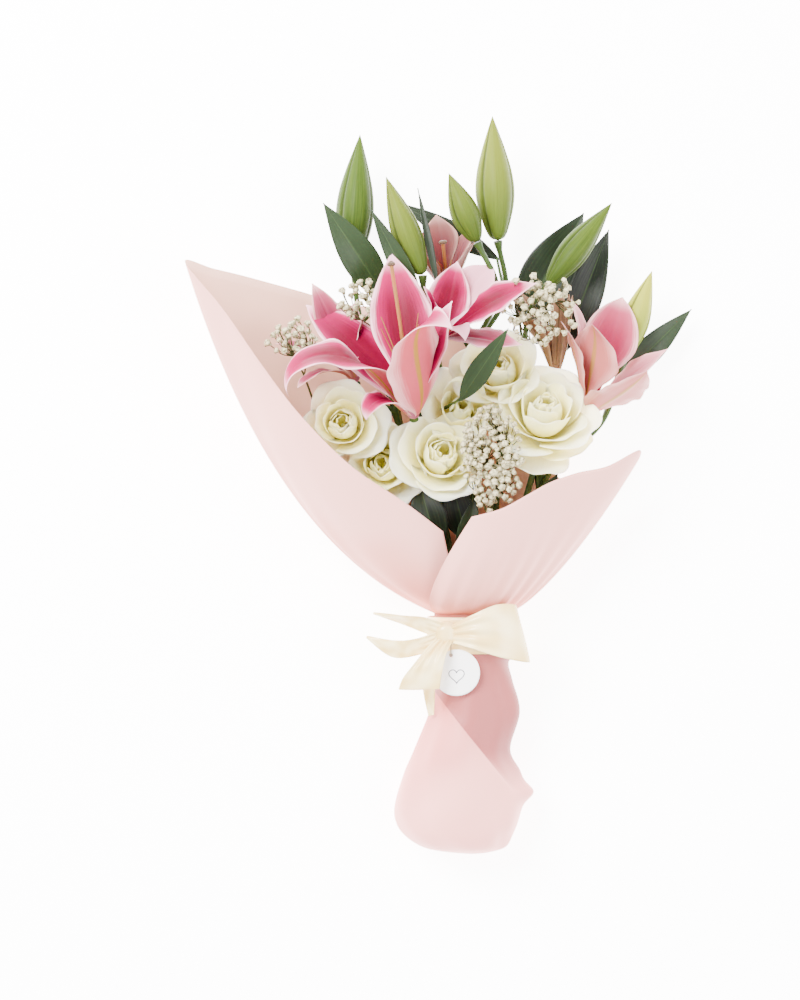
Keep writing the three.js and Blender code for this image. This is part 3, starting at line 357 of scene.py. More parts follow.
# Fresh lily tepal: a waxy cell layer over pale flesh. The pink lies in streaks about 1.5 mm wide that run
# along the blade and fade to a white margin. The back is duller, with a buff midrib.
TEPAL_STREAK = 1.5
# The last two rows are the same tepal colours made darker and duller: painted shade for lily_5 and lily_6,
# which lie low behind the other blooms.
TEPAL_COLOURS = {
    "vivid": ("#5A001E", "#9C0E4C", "#E0A8B4", "#A6404C", "#C98E90", "#8E6424"),
    "soft": ("#7A1C38", "#9C4458", "#CE9A9C", "#A45C58", "#BE8884", "#946A3C"),
    "pale": ("#6E1E38", "#96465A", "#C69696", "#8E5052", "#B08080", "#806040"),
    "shaded_dusky": ("#643438", "#7C504C", "#A88078", "#784E48", "#9A726A", "#604434"),
    "shaded_beige": ("#5E4034", "#725442", "#8E725C", "#6C503C", "#866A54", "#54402C"),
}


def tepal_skin(kind):
    heart, blush, margin, outside, outer_margin, midrib = (linear(code) for code in TEPAL_COLOURS[kind])
    skin, tree = living_skin(f"lily_tepal_{kind}", roughness=0.42, depth=2.5, shine=0.05)
    place = place_of(tree)
    streaks = patches(tree, (TEPAL_STREAK, 16 * TEPAL_STREAK, 1), 3.0, flat=True)
    ragged = add(tree, "MapRange", {0: streaks, 1: 0.3, 2: 0.7, 3: -0.07, 4: 0.07})
    frayed = add(tree, "Math", {0: place["away"], 1: ragged}, operation="ADD")
    blushed = add(tree, "MapRange", {0: frayed, 1: 1.0, 2: 0.74}, **EASED)
    deep = add(tree, "MapRange", {0: frayed, 1: 0.94, 2: 0.3}, **EASED)
    tipward = add(tree, "MapRange", {0: place["along"], 1: 1.0, 2: 0.84}, **EASED)
    footward = add(tree, "MapRange", {0: place["along"], 1: 1.0, 2: 0.6}, **EASED)
    full = add(tree, "MapRange", {0: tint_of(tree), 3: 1.0, 4: 0.25})
    fed = add(tree, "Math", {0: tipward, 1: full}, operation="MULTIPLY")
    blush_share = add(tree, "Math", {0: blushed, 1: fed}, operation="MULTIPLY")
    rich = add(tree, "Math", {0: footward, 1: full}, operation="MULTIPLY")
    heart_share = add(tree, "Math", {0: deep, 1: rich}, operation="MULTIPLY")
    rosy = add(tree, "Mix", {0: blush_share, 6: margin, 7: blush})
    inner = add(tree, "Mix", {0: heart_share, 6: rosy, 7: heart})
    backed = add(tree, "MapRange", {0: frayed, 1: 1.0, 2: 0.45}, **EASED)
    outer = add(tree, "Mix", {0: backed, 6: outer_margin, 7: outside})
    ribbed = add(tree, "MapRange", {0: place["away"], 1: 0.13, 2: 0.05}, **EASED)
    backs = add(tree, "Mix", {0: ribbed, 6: outer, 7: midrib})
    front = add(tree, "Math", {0: place["side"], 1: 0.0}, operation="GREATER_THAN")
    coat(tree, add(tree, "Mix", {0: front, 6: backs, 7: inner}), streaks, 0.35, 0.4)
    return skin


def tepal(bloom, petal, ring, phase):
    """A lily tepal: narrow at its foot, widest past the middle, pointed, with a waved margin. Some are rolled
    about their rib near the foot, by twist degrees. own is what differs from the usual tepal."""
    turn, opening, long, wide, own = petal
    a, out, side = spokes(bloom["axis"], turn)
    rib = rib_of(opening, long, LILY["throat"] + ring)
    look = {**TEPAL, **bloom.get("all", {}), **own}

    def at(t, q):
        reach, rise, lean = rib(t)
        blade = np.sin(np.pi * t ** look["belly"]) + look["claw"] * (1 - t) ** 2
        half = np.maximum(wide * blade, TEPAL_TIP)
        opened = ease(t, *look["tube"])
        bend = np.minimum(half / reach, LILY["wrap"]) * q
        swell = np.sin(np.pi * t)
        waved = look["wave"] * np.sin(9 * t + 1.4 * q) * q * q * swell
        ruffled = 0.05 * half * np.sin(31 * t + phase + 2 * q) * q**4 * swell
        grooved = -0.9 * np.exp(-((q / 0.1) ** 2)) * swell - 0.03 * half * q**6
        lift = opened * (look["cup"] * half * q * q + waved + ruffled) + grooved
        x = mix(reach * np.sin(bend), half * q, opened)
        roll = np.radians(look["twist"]) * (1 - ease(t, 0.25, 0.6))
        x, lift = x * np.cos(roll) - lift * np.sin(roll), x * np.sin(roll) + lift * np.cos(roll)
        outward = reach - (1 - opened) * reach * (1 - np.cos(bend)) - lift * np.cos(lean)
        upward = rise + lift * np.sin(lean)
        return built(bloom["at"], (outward, out), (upward, a), (x + look["sway"] * t * t, side))

    return at


TEPAL_SKINS = {kind: tepal_skin(kind) for kind in TEPAL_COLOURS}
dice = np.random.default_rng(7)
blooms = []
for node, bloom in LILIES.items():
    parts = [orb(np.array(bloom["at"]) + 1.5 * unit(bloom["axis"]), bloom["axis"], LILY["foot"] - 0.6)]
    for k, petal in enumerate(bloom["petals"]):
        ring = -LILY["step"] if k % 2 else LILY["step"]
        blade = tepal(bloom, petal, ring, dice.uniform(0, 6))
        _, _, long, wide, own = petal
        parts.append(sheet(blade, 56, 24, TEPAL_THICK, (2 * wide, long), own.get("pale", 0)))
    made = joined(f"tepals_{node}", parts, TEPAL_SKINS[bloom["skin"]])
    blooms.append(fit(made, node))

# ---------------------------------------------------------------- stamens and pistils
# Six filaments and one thicker style stand up from the throat. The florist has pulled the anthers off, so the
# filaments end bare, and the style carries a three-lobed stigma. They are drawn as stalks along curves.
PISTILS = {
    "stamens_1": {"bloom": "lily_1", "turn": 95, "lean": 50, "long": 72, "style": 112},
    "stamens_5": {"bloom": "lily_5", "turn": 270, "lean": 24, "long": 26, "style": 38},
}
FILAMENT = (1.0, 0.35)  # radii at the foot and at the tip
STYLE = (1.3, 1.7)
STIGMA = 4.0


def curve(points, count):
    """count + 1 points on the centripetal Catmull-Rom curve through the given ones."""
    given = np.asarray(points, float)
    given = np.vstack([2 * given[0] - given[1], given, 2 * given[-1] - given[-2]])
    spans = len(given) - 3
    made = []
    for share in np.linspace(0, spans, count + 1):
        k = min(int(share), spans - 1)
        w = share - k
        p0, p1, p2, p3 = given[k : k + 4]
        d0, d1, d2 = (np.linalg.norm(b - a) ** 0.5 for a, b in ((p0, p1), (p1, p2), (p2, p3)))
        m1 = ((p1 - p0) / d0 - (p2 - p0) / (d0 + d1) + (p2 - p1) / d1) * d1
        m2 = ((p2 - p1) / d1 - (p3 - p1) / (d1 + d2) + (p3 - p2) / d2) * d1
        made.append(p1 + m1 * w + (3 * (p2 - p1) - 2 * m1 - m2) * w**2 + (2 * (p1 - p2) + m1 + m2) * w**3)
    return np.array(made)


def new_rule(name, ports):
    """An empty Geometry Nodes tree that takes a geometry and these inputs, and its input node."""
    tree = bpy.data.node_groups.new(name, "GeometryNodeTree")
    tree.is_modifier = True
    for port, kind in {"Geometry": "Geometry", **ports}.items():
        tree.interface.new_socket(port, in_out="INPUT", socket_type=f"NodeSocket{kind}")
    tree.interface.new_socket("Geometry", in_out="OUTPUT", socket_type="NodeSocketGeometry")
    return tree, add(tree, "NodeGroupInput").outputs


def stalk_rule():
    """Geometry Nodes: every chain of edges becomes a round stalk as thick as its own points say."""
    tree, given = new_rule("stalks", {"Sides": "Int", "Skin": "Material"})
    wire = add(tree, "GeometryNodeMeshToCurve", {"Mesh": given["Geometry"]})
    thick = add(tree, "GeometryNodeInputNamedAttribute", {"Name": "thick"}, data_type="FLOAT")
    ring = add(tree, "GeometryNodeCurvePrimitiveCircle", {"Resolution": given["Sides"], "Radius": 1.0})
    sweep = {"Curve": wire, "Profile Curve": ring, "Scale": thick, "Fill Caps": True}
    stalk = add(tree, "GeometryNodeCurveToMesh", sweep)
    soft = add(tree, "GeometryNodeSetShadeSmooth", {"Geometry": stalk})
    real = add(tree, "GeometryNodeRealizeInstances", {"Geometry": soft})
    coated = add(tree, "GeometryNodeSetMaterial", {"Geometry": real, "Material": given["Skin"]})
    add(tree, "NodeGroupOutput", {"Geometry": coated})
    return tree


def grown(name, mesh, tree, **inputs):
    """A plain mesh of what the tree makes of the given one."""
    made = bpy.data.objects.new(name, mesh)
    bpy.context.collection.objects.link(made)
    rule = made.modifiers.new(name, "NODES")
    rule.node_group = tree
    for port in tree.interface.items_tree:
        if port.in_out == "INPUT" and port.name in inputs:
            rule[port.identifier] = inputs[port.name]
    shaped = made.evaluated_get(bpy.context.evaluated_depsgraph_get())
    plain = bpy.data.meshes.new_from_object(shaped)
    made.modifiers.clear()
    made.data = plain
    return made


def chains(name, ways, **values):
    """A mesh of one chain of edges for each way: its points and the thickness at each of them."""
    points = np.concatenate([way for way, _ in ways]) * MM
    thick = np.concatenate([np.broadcast_to(radius, len(way)) for way, radius in ways]) * MM
    edges, start = [], 0
    for way, _ in ways:
        edges += [(start + k, start + k + 1) for k in range(len(way) - 1)]
        start += len(way)
    mesh = bpy.data.meshes.new(name)
    mesh.from_pydata(points.tolist(), edges, [])
    mesh.attributes.new("thick", "FLOAT", "POINT").data.foreach_set("value", thick)
    for key, value in values.items():
        mesh.attributes.new(key, "FLOAT", "POINT").data.foreach_set("value", value)
    return mesh


def mottled(made, size, dark, light, detail=2.0, strength=0.0, deep=0.0):
    """Gives a new material patches of two colours, of size mm, with a relief of the same shape."""
    skin, tree = made
    spots = patches(tree, size, detail)
    coat(tree, add(tree, "Mix", {0: spots, 6: linear(dark), 7: linear(light)}), spots, strength, deep)
    return skin


STALKS = stalk_rule()
# Filament and style: smooth living tissue, rose at the foot and buff above, matt enough to read as a thread,
# in soft patches about 14 mm long.
FILAMENT_SKIN = mottled(living_skin("lily_filament", 0.5, depth=1.5), 14, "#74582A", "#94502C")
# Stigma: sticky and dark, with lobes about 2 mm across that catch a small highlight.
STIGMA_SKIN = mottled(living_skin("lily_stigma", 0.28, depth=0.5), 2, "#3A2A20", "#5E4836")
for node, pistil in PISTILS.items():
    bloom = LILIES[pistil["bloom"]]
    a, out, _ = spokes(bloom["axis"], pistil["turn"])
    root = np.array(bloom["at"]) + 7 * a
    long, lean, style = pistil["long"], pistil["lean"], pistil["style"]
    ways = []
    for k in range(6):
        _, spread, _ = spokes(bloom["axis"], 60 * k + 30)
        middle = root + 0.55 * long * a + 0.1 * long * spread + 0.2 * lean * out
        tip = root + long * a + 0.26 * long * spread + 0.55 * lean * out
        ways.append((curve([root, middle, tip], 20), np.linspace(*FILAMENT, 21)))
    bend = root + 0.5 * style * a + 0.2 * lean * out
    end = root + (style + 4) * a + lean * out
    ways.append((curve([root, bend, end], 24), np.linspace(*STYLE, 25)))
    mesh = chains(f"threads_{node}", ways)
    fit(grown(f"threads_{node}", mesh, STALKS, Sides=10, Skin=FILAMENT_SKIN), node)
    lobes = []
    for turn in (90, 210, 330):
        _, spread, _ = spokes(a, turn)
        lobes.append(orb(end + 1.6 * spread, a, STIGMA * 0.55, 0.8))
    fit(joined(f"stigma_{node}", lobes, STIGMA_SKIN), node)

# ---------------------------------------------------------------- lily buds
# Six unopened lilies on the same stems. Each is three closed outer tepals, whose backs make three broad ribs
# with a seam between each two. They are green at the foot and turn yellow-white towards the tip.
BUD_RINGS = (0.36, 0.8, 1, 0.93, 0.66, 0.3)  # its thickness from foot to tip
BUDS = {  # each bud: its foot, tip, radius and how ripe it is
    "bud_1": ((-82, 193, 38), (-75, 307, 40), 16.5, 0.05),
    "bud_2": ((-20, 180, 68), (-52, 266, 72), 13, 0.25),
    "bud_3": ((28, 209, 68), (3, 269, 72), 12.5, 0.18),
    "bud_4": ((47, 212, 46), (42, 322, 50), 17, 0.35),
    "bud_5": ((91, 172, 62), (147, 244, 62), 13, 0.08),
    "bud_6": ((160, 110, 34), (184, 186, 40), 12.5, 1.0),
}


def bud(foot, tip, radius):
    run = np.array(tip, float) - foot
    long = np.linalg.norm(run)
    heights = [(k + 0.14) / (len(BUD_RINGS) - 0.1) for k in range(len(BUD_RINGS))]
    rings = [(0, 0), *zip(heights, BUD_RINGS), (1, 0)]
    profile = curve([(h * long, r * radius, 0) for h, r in rings], 120)
    marks = np.linspace(0, 1, len(profile))
    a, u, v = spokes(run, 40)

    def at(t, q):
        angle = np.pi * q
        seam = np.exp(-(((np.cos(1.5 * angle)) / 0.16) ** 2))
        vein = np.exp(-((np.sin(1.5 * angle) / 0.14) ** 2))
        shape = 1 + 0.07 * np.cos(3 * angle) - 0.07 * seam - 0.035 * vein
        wide = np.interp(t, marks, profile[:, 1]) * shape
        high = np.interp(t, marks, profile[:, 0])
        around = np.cos(angle)[..., None] * u + np.sin(angle)[..., None] * v
        return built(foot, (high, a), (wide, around))

    return at, long


# Closed lily bud: firm waxy tissue with a soft shine. Fine ribs about 1.2 mm apart run from foot to tip,
# and a painted highlight of lighter green lies along them. The seams are darker green, and that dark also
# stands for painted shade down in their grooves. The colour pales towards the tip.
def bud_skin():
    skin, tree = living_skin("lily_bud_wax", roughness=0.4, depth=1.2, shine=0.04, glow=0.06)
    place, ripe = place_of(tree), tint_of(tree)
    streaks = patches(tree, (1.2, 30, 1), flat=True)
    young = add(tree, "Mix", {0: ripe, 6: linear("#16260D"), 7: linear("#5C7128")})
    top = add(tree, "Mix", {0: ripe, 6: linear("#263D14"), 7: linear("#969632")})
    high = add(tree, "MapRange", {0: place["along"], 1: 0.05, 2: 0.85}, **EASED)
    graded = add(tree, "Mix", {0: high, 6: young, 7: top})
    thrice = add(tree, "Math", {0: place["across"], 1: 1.5 * np.pi}, operation="MULTIPLY")
    turned = add(tree, "Math", {0: thrice}, operation="COSINE")
    seamward = add(tree, "Math", {0: turned}, operation="ABSOLUTE")
    # The seams darken to near-black green: partly their own colour, partly painted shade in the grooves.
    seam = add(tree, "MapRange", {0: seamward, 1: 0.36, 2: 0.04, 4: 0.7}, **EASED)
    seam_shaded = add(tree, "Mix", {0: seam, 6: graded, 7: linear("#121C08")})
    # Painted highlight: lighter green along the raised fine ribs.
    light = add(tree, "MapRange", {0: streaks, 1: 0.3, 2: 0.7, 4: 0.18})
    coat(tree, add(tree, "Mix", {0: light, 6: seam_shaded, 7: linear("#6C7C2C")}), streaks, 0.3, 0.3)
    return skin


BUD_SKIN = bud_skin()
for node, (foot, tip, radius, ripe) in BUDS.items():
    shape, long = bud(foot, tip, radius)
    parts = [closed_body(shape, 60, 72, (2 * np.pi * radius, long), ripe)]
    fit(joined(f"skin_{node}", parts, BUD_SKIN), node)

# ---------------------------------------------------------------- lily stems and leaves
# Four lily stems run from their cut ends in the sleeve through the tied neck to a fork, and a pedicel goes
# from the fork to each bloom and bud. Long glossy leaves grow from them, dark green with parallel veins.
NECK = {"x": 24, "y": -135, "z": 33, "rx": 33, "rz": 26}
NECK_TOP, NECK_LOW, STEM_END = -118, -150, -304
LILY_STEM, PEDICEL = 3.6, 2.4
GAP = 0.35
LEAF_THICK = 0.5


def bloom_foot(node):
    bloom = LILIES[node]
    return np.array(bloom["at"]) + (1 - LILY["foot"] - 2 * GAP) * unit(bloom["axis"])


def bud_foot(node):
    foot, tip = np.array(BUDS[node][0], float), np.array(BUDS[node][1], float)
    return foot - 2 * GAP * unit(tip - foot)


# A leaf's shade is painted shade: leaves that lie in shadow, on the right and deep in the gap, are darker.
LILY_STEMS = {  # each leaf: its root on the stem, foot, tip, half width, arch and shade
    "lily_stem_1": {
        "neck": (-10, -6),
        "way": [(-8, -45, 26), (-44, 62, 28)],
        "pedicels": [
            [(-68, 72, 36), bloom_foot("lily_3")],
            [(-74, 140, 26), bud_foot("bud_1")],
            [(-18, 128, 58), bud_foot("bud_2")],
        ],
        "leaves": [
            ((-74, 140, 26), (-50, 158, 38), (-107, 243, 68), 16, 8, 0.95),
            ((-18, 128, 58), (-20, 150, 66), (-65, 236, 84), 9, 6, 0.8),
            ((-18, 128, 58), (-6, 168, 66), (-24, 257, 60), 3.5, 2, 0.3),
        ],
    },
    "lily_stem_2": {
        "neck": (2, -9),
        "way": [(22, -30, 16), (24, 116, 13)],
        "pedicels": [
            [(10, 140, 28), bloom_foot("lily_5")],
            [(46, 168, 56), bud_foot("bud_3")],
            [(54, 164, 30), bud_foot("bud_4")],
        ],
        "leaves": [((54, 164, 30), (50, 198, 8), (-42, 250, 6), 10, 2, 0.3)],
    },
    "lily_stem_3": {
        "neck": (20, -5),
        "way": [(60, -62, 31), (84, -12, 40)],
        "pedicels": [
            [(99, 22, 48), bloom_foot("lily_4")],
            [(92, 56, 34), bloom_foot("lily_6")],
            [(72, 96, 28), (75, 150, 57), bud_foot("bud_5")],
            [(96, 12, 48), (140, 52, 36), bud_foot("bud_6")],
        ],
        "leaves": [
            ((72, 96, 28), (66, 140, 18), (124, 238, 30), 23, 6, 0.25),
            ((92, 56, 34), (104, 112, 16), (147, 224, 22), 17, 6, 0),
            ((140, 52, 36), (150, 84, 14), (221, 153, 20), 12, 6, 0.6),
        ],
    },
    "lily_stem_4": {
        "neck": (-4, 4),
        "way": [(4, -62, 34), (-10, 30, 32)],
        "pedicels": [
            [(-30, 78, 52), (-30, 68, 80), bloom_foot("lily_1")],
            [(-4, 88, 50), bloom_foot("lily_2")],
        ],
        "leaves": [
            ((-7, 60, 41), (12, 68, 92), (53, 129, 134), 10, 4, 0.9),
            ((7, -66, 34), (20, -54, 52), (4, 4, 58), 15, 6, 0),
        ],
    },
}


def through(place):
    """The shared lower run of every stalk, from its cut end through the neck."""
    dx, dz = place
    return [
        (NECK["x"] + 1.15 * dx - 8, STEM_END, NECK["z"] + 1.1 * dz),
        (NECK["x"] + dx, NECK["y"] - 22, NECK["z"] + dz),
        (NECK["x"] + dx, NECK_TOP + 6, NECK["z"] + dz),
    ]


def leaf_blade(foot, tip, half, arch):
    """A lance-shaped leaf that arches up and is folded a little along its rib."""
    foot = np.array(foot, float)
    run = np.array(tip, float) - foot
    side = unit(np.cross(run, (0, 0, 1)))
    face = unit(np.cross(side, run))

    def at(t, q):
        x = np.maximum(half * np.sin(np.pi * t**0.85), 0.5) * q
        soft = np.sqrt(x * x + 0.6) - 0.77
        waved = 0.03 * half * np.sin(13 * t + 2 * q) * q * q * np.sin(np.pi * t)
        lift = arch * np.sin(np.pi * t) + 0.16 * soft + waved
        return built(foot, (t, run), (x, side), (lift, face))

    return at, (2 * half, np.linalg.norm(run))


def leaf_parts(leaves):
    parts = []
    for _, foot, tip, half, arch, shade in leaves:
        at, size = leaf_blade(foot, tip, half, arch)
        parts.append(sheet(at, 60, 24, LEAF_THICK, size, shade))
    return parts


def leaf_stalks(leaves):
    ways = []
    for root, foot, tip, *_ in leaves:
        inward = foot + 3 * unit(np.subtract(tip, foot))
        ways.append((np.linspace(root, inward, 9), np.linspace(1.7, 1.1, 9)))
    return ways


# Mature lily leaf: a glossy wax skin over dark green. Parallel veins about 1.6 mm apart follow its edges, the
# middle one is paler and sunken, and the underside is duller and lighter. Patches of tone about 35 mm across
# vary it, and each leaf is darker or lighter by its own shade, which is painted shade for where it lies.
def leaf_skin():
    skin, tree = living_skin("glossy_lily_leaf", roughness=0.4, depth=0.8, shine=0.2)
    place = place_of(tree)
    veins = patches(tree, (1.6, 60, 1), flat=True)
    # Random patches of tone, plus the leaf's own painted shade.
    shade = add(tree, "Math", {0: patches(tree, 35), 1: tint_of(tree)}, operation="ADD")
    share = add(tree, "MapRange", {0: shade, 1: 0.5, 2: 1.4})
    upper = add(tree, "Mix", {0: share, 6: linear("#080C06"), 7: linear("#1E2C15")})
    line = add(tree, "MapRange", {0: veins, 1: 0.45, 2: 0.7, 4: 0.3})
    lined = add(tree, "Mix", {0: line, 6: upper, 7: linear("#293A20")})
    ribbed = add(tree, "MapRange", {0: place["away"], 1: 0.07, 2: 0.02, 4: 0.35}, **EASED)
    ridged = add(tree, "Mix", {0: ribbed, 6: lined, 7: linear("#3A4C2A")})
    under = add(tree, "Math", {0: place["side"], 1: 0.0}, operation="GREATER_THAN")
    below = add(tree, "Math", {0: under, 1: 0.45}, operation="MULTIPLY")
    coat(tree, add(tree, "Mix", {0: below, 6: ridged, 7: linear("#36482A")}), veins, 0.45, 0.35)
    return skin


LEAF_SKIN = leaf_skin()
# Cut flower stalk: smooth, waxy and mid green, with faint lengthwise mottling about 8 mm long.
STALK_SKIN = mottled(
    living_skin("green_flower_stalk", 0.45, depth=1.0, shine=0.2), (2, 8, 2), "#1C2C10", "#384E1A", 3.0
)
for node, stem in LILY_STEMS.items():
    fork = stem["way"][-1]
    way = curve([*through(stem["neck"]), *stem["way"]], 90)
    ways = [(way, np.full(len(way), LILY_STEM))]
    knee = np.array(fork, float) + np.outer(np.linspace(-4, 4, 9), unit(way[-1] - way[-3]))
    ways.append((knee, LILY_STEM + 1.2 * np.sin(np.linspace(0.1, np.pi - 0.1, 9))))
    for pedicel in stem["pedicels"]:
        path = curve([fork, *pedicel], 40)
        ways.append((path, PEDICEL + 1.6 * ease(np.linspace(0, 1, 41), 0.9, 1)))
    mesh = chains(f"stalks_{node}", ways + leaf_stalks(stem["leaves"]))
    fit(grown(f"stalks_{node}", mesh, STALKS, Sides=14, Skin=STALK_SKIN), node)
    fit(joined(f"leaves_{node}", leaf_parts(stem["leaves"]), LEAF_SKIN), node)

# ---------------------------------------------------------------- roses
# Six cream garden roses. Their petals follow one another round the heart by the golden angle, each outside
# the one before it and more open, with a soft rolled rim. The widest, on the right, has two fallen ones.
ROSE = {"foot": 2.4, "claw": 0.34, "belly": 0.6, "round": 1.06, "wrap": 1.15, "turn": 137.5, "drop": 1}
ROSE_CORE = 5.5
ROSE_FIRST = {"open": (62, 6, -30), "long": 38, "wide": 15}
ROSE_LAST = {"open": (86, 44, 80), "long": 52, "wide": 38}
ROSE_HEART = {"open": (22, 4, -14), "long": 34, "wide": 10, "petals": 7}  # the tight swirl in the middle
ROSE_THICK = 0.45
ROSES = {  # a fallen petal has its turn and its own opening, length and half width
    "rose_1": {"at": (-88, 46, 58), "axis": (-0.1, 0.2, 0.97), "size": 0.95, "turn": 20, "petals": 6},
    "rose_2": {"at": (-6, 14, 62), "axis": (0.12, 0.34, 0.93), "size": 1.08, "turn": 75, "petals": 7},
    "rose_3": {
        "at": (86, 45, 58),
        "axis": (0.05, 0.6, 0.8),
        "size": 1.2,
        "turn": 110,
        "petals": 7,
        "fallen": [(-98, ((84, 74, 30), 54, 25)), (-46, ((84, 66, 30), 44, 22))],
    },
    "rose_4": {"at": (50, 86, 46), "axis": (-0.1, 0.5, 0.86), "size": 1.02, "turn": 0, "petals": 5},
    "rose_5": {"at": (12, 56, 48), "axis": (0.1, 0.3, 0.95), "size": 0.95, "turn": 50, "petals": 4},
    "rose_6": {"at": (-52, 12, 42), "axis": (-0.1, 0.1, 0.98), "size": 1.04, "turn": 10, "petals": 5},
}
BETWEEN = 2  # petals for each one of the CAD model, half a turn apart


def rose_shape(u):
    """A petal's opening, length and half width: u is -1 in the heart, 0 at the first open one, 1 outside."""
    inner, outer, share = (ROSE_FIRST, ROSE_LAST, u) if u > 0 else (ROSE_FIRST, ROSE_HEART, -u)
    opening = mix(np.array(inner["open"]), np.array(outer["open"]), share)
    return opening, mix(inner["long"], outer["long"], share), mix(inner["wide"], outer["wide"], share)


def rose_petal(bloom, shape, outer, turn, luck):
    """A broad petal with a rounded rolled rim, bent round the axis. outer is 0 in the heart, 1 outside."""
    a, out, side = spokes(bloom["axis"], turn)
    opening = np.array(shape[0]) + luck.uniform(-5, 5, 3)
    long, wide = bloom["size"] * shape[1], bloom["size"] * shape[2]
    rib = rib_of(opening, long, ROSE["foot"])
    drop = ROSE["drop"] * outer * (bloom["petals"] - 1)
    phase, ruffle, notch = luck.uniform(0, 6), luck.uniform(0.5, 1.2), luck.uniform(0.02, 0.08)

    def at(t, q):
        short = 1 - notch * ease(t, 0.6, 1) * np.exp(-((q / 0.35) ** 2))
        reach, rise, lean = rib(t * short)
        top = np.maximum(t - ROSE["belly"], 0) / (ROSE["round"] - ROSE["belly"])
        low = np.sin(np.pi * np.minimum(t, ROSE["belly"]) / (2 * ROSE["belly"]))
        half = wide * mix(ROSE["claw"], 1, low) * np.sqrt(1 - top * top)
        bend = np.minimum(half / reach, ROSE["wrap"]) * q
        edge = ease(np.maximum(t, 0.75 * np.abs(q) + 0.25 * t), 0.5, 1)
        wave = ruffle * bloom["size"] * np.sin(4.2 * q + phase + 1.5 * t) * edge
        roll = 0.9 * outer * edge**3
        outward = reach * np.cos(bend) + (wave + roll) * np.cos(lean)
        upward = rise - drop - (wave + 2 * roll) * np.sin(lean)
        return built(bloom["at"], (outward, out), (upward, a), (reach * np.sin(bend), side))

    return at, (2 * wide, long)


def rose_low(bloom):
    return np.array(bloom["at"]) - (ROSE["drop"] * bloom["petals"] + 1) * unit(bloom["axis"])


# Fresh cream rose petal: velvety cells scatter the light, so it has no shine. It is greenish cream at its
# foot and in the heart, nearly white at the rim, with faint veins about 2 mm apart that fan outwards.
def rose_skin():
    skin, tree = living_skin(
        "cream_rose_petal", roughness=0.6, depth=6.0, shine=0.05, glow=0.8, reach=(1.0, 0.85, 0.5)
    )
    place, outer = place_of(tree), tint_of(tree)
    veins = patches(tree, (2, 26, 1), flat=True)
    rim = add(tree, "Mix", {0: outer, 6: linear("#FCF294"), 7: linear("#FFFAC2")})
    foot = add(tree, "Mix", {0: outer, 6: linear("#F2E470"), 7: linear("#FCF094")})
    high = add(tree, "MapRange", {0: place["along"], 1: 0.2, 2: 0.85}, **EASED)
    graded = add(tree, "Mix", {0: high, 6: foot, 7: rim})
    faint = add(tree, "MapRange", {0: veins, 1: 0.4, 2: 0.75, 4: 0.22})
    coat(tree, add(tree, "Mix", {0: faint, 6: graded, 7: linear("#F0E48C")}), veins, 0.3, 0.4)
    return skin


ROSE_SKIN = rose_skin()
dice = np.random.default_rng(19)
for node, bloom in ROSES.items():
    a = unit(bloom["axis"])
    parts = [orb(mix(rose_low(bloom), np.array(bloom["at"]) + 4 * a, 0.5), a, ROSE_CORE, 1.2)]
    last = BETWEEN * (bloom["petals"] - 1)
    for m in range(last + 1):
        u = m / last
        turn = bloom["turn"] + ROSE["turn"] * m / BETWEEN + 360 / BETWEEN * (m % BETWEEN)
        blade, size = rose_petal(bloom, rose_shape(u), u, turn, dice)
        parts.append(sheet(blade, 22, 24, ROSE_THICK, size, mix(0.35, 1, u)))
    for m in range(ROSE_HEART["petals"]):
        inward = (m + 1) / ROSE_HEART["petals"]
        turn = bloom["turn"] - ROSE["turn"] * (m + 1)
        blade, size = rose_petal(bloom, rose_shape(-inward), 0, turn, dice)
        parts.append(sheet(blade, 18, 16, ROSE_THICK, size, 0.35 * (1 - inward)))
    for turn, shape in bloom.get("fallen", []):
        blade, size = rose_petal(bloom, shape, 1, turn, dice)
        parts.append(sheet(blade, 28, 32, ROSE_THICK, size, 1))
    made = joined(f"petals_{node}", parts, ROSE_SKIN)
    blooms.append(fit(made, node))

# ---------------------------------------------------------------- rose stems
# Each rose sits on a round green calyx with five narrow sepals. The stalk runs down through the neck with the
# others, and four of the stalks have a leaf that fills the gap in front, darkened there as painted shade.
ROSE_STEM = 2.8
ROSE_STEMS = {
    "rose_stem_1": {"neck": (-20, -2), "way": [(-46, -40, 14), (-78, 10, 14)], "rose": "rose_1"},
    "rose_stem_2": {
        "neck": (-6, 15),
        "way": [(-10, -50, 42)],
        "rose": "rose_2",
        "leaves": [((0, -76, 47), (-6, -62, 62), (-24, 2, 66), 16, 6, 0)],
    },
    "rose_stem_3": {
        "neck": (18, 6),
        "way": [(62, -50, 48)],
        "rose": "rose_3",
        "leaves": [((52, -78, 45), (64, -60, 62), (98, 6, 88), 14, 6, 0.5)],
    },
    "rose_stem_4": {"neck": (10, 6), "way": [(46, -20, 36)], "rose": "rose_4"},
    "rose_stem_5": {
        "neck": (3, 13),
        "way": [(29, -40, 34)],
        "rose": "rose_5",
        "leaves": [((28, -80, 41), (16, -70, 60), (26, -14, 76), 10, 6, 0.3)],
    },
    "rose_stem_6": {
        "neck": (-14, 8),
        "way": [(-14, -64, 34), (-48, -14, 14)],
        "rose": "rose_6",
        "leaves": [((2, -92, 38), (4, -84, 60), (-44, -24, 80), 12, 6, 0)],
    },
}
SEPALS = {"count": 5, "long": 24, "wide": 3.2, "sag": 3}
CALYX = {"long": 7, "radius": 5}


def sepal(seat, axis, turn):
    a, out, side = spokes(axis, turn)

    def at(t, q):
        x = SEPALS["wide"] * (1 - t) ** 0.8 * np.sin(np.pi * (0.25 + 0.5 * t)) * q
        drop = SEPALS["sag"] * t * t - 0.1 * np.abs(x)
        return built(seat, (2 + (SEPALS["long"] - 2) * t, out), (x, side), (-drop, a))

    return at


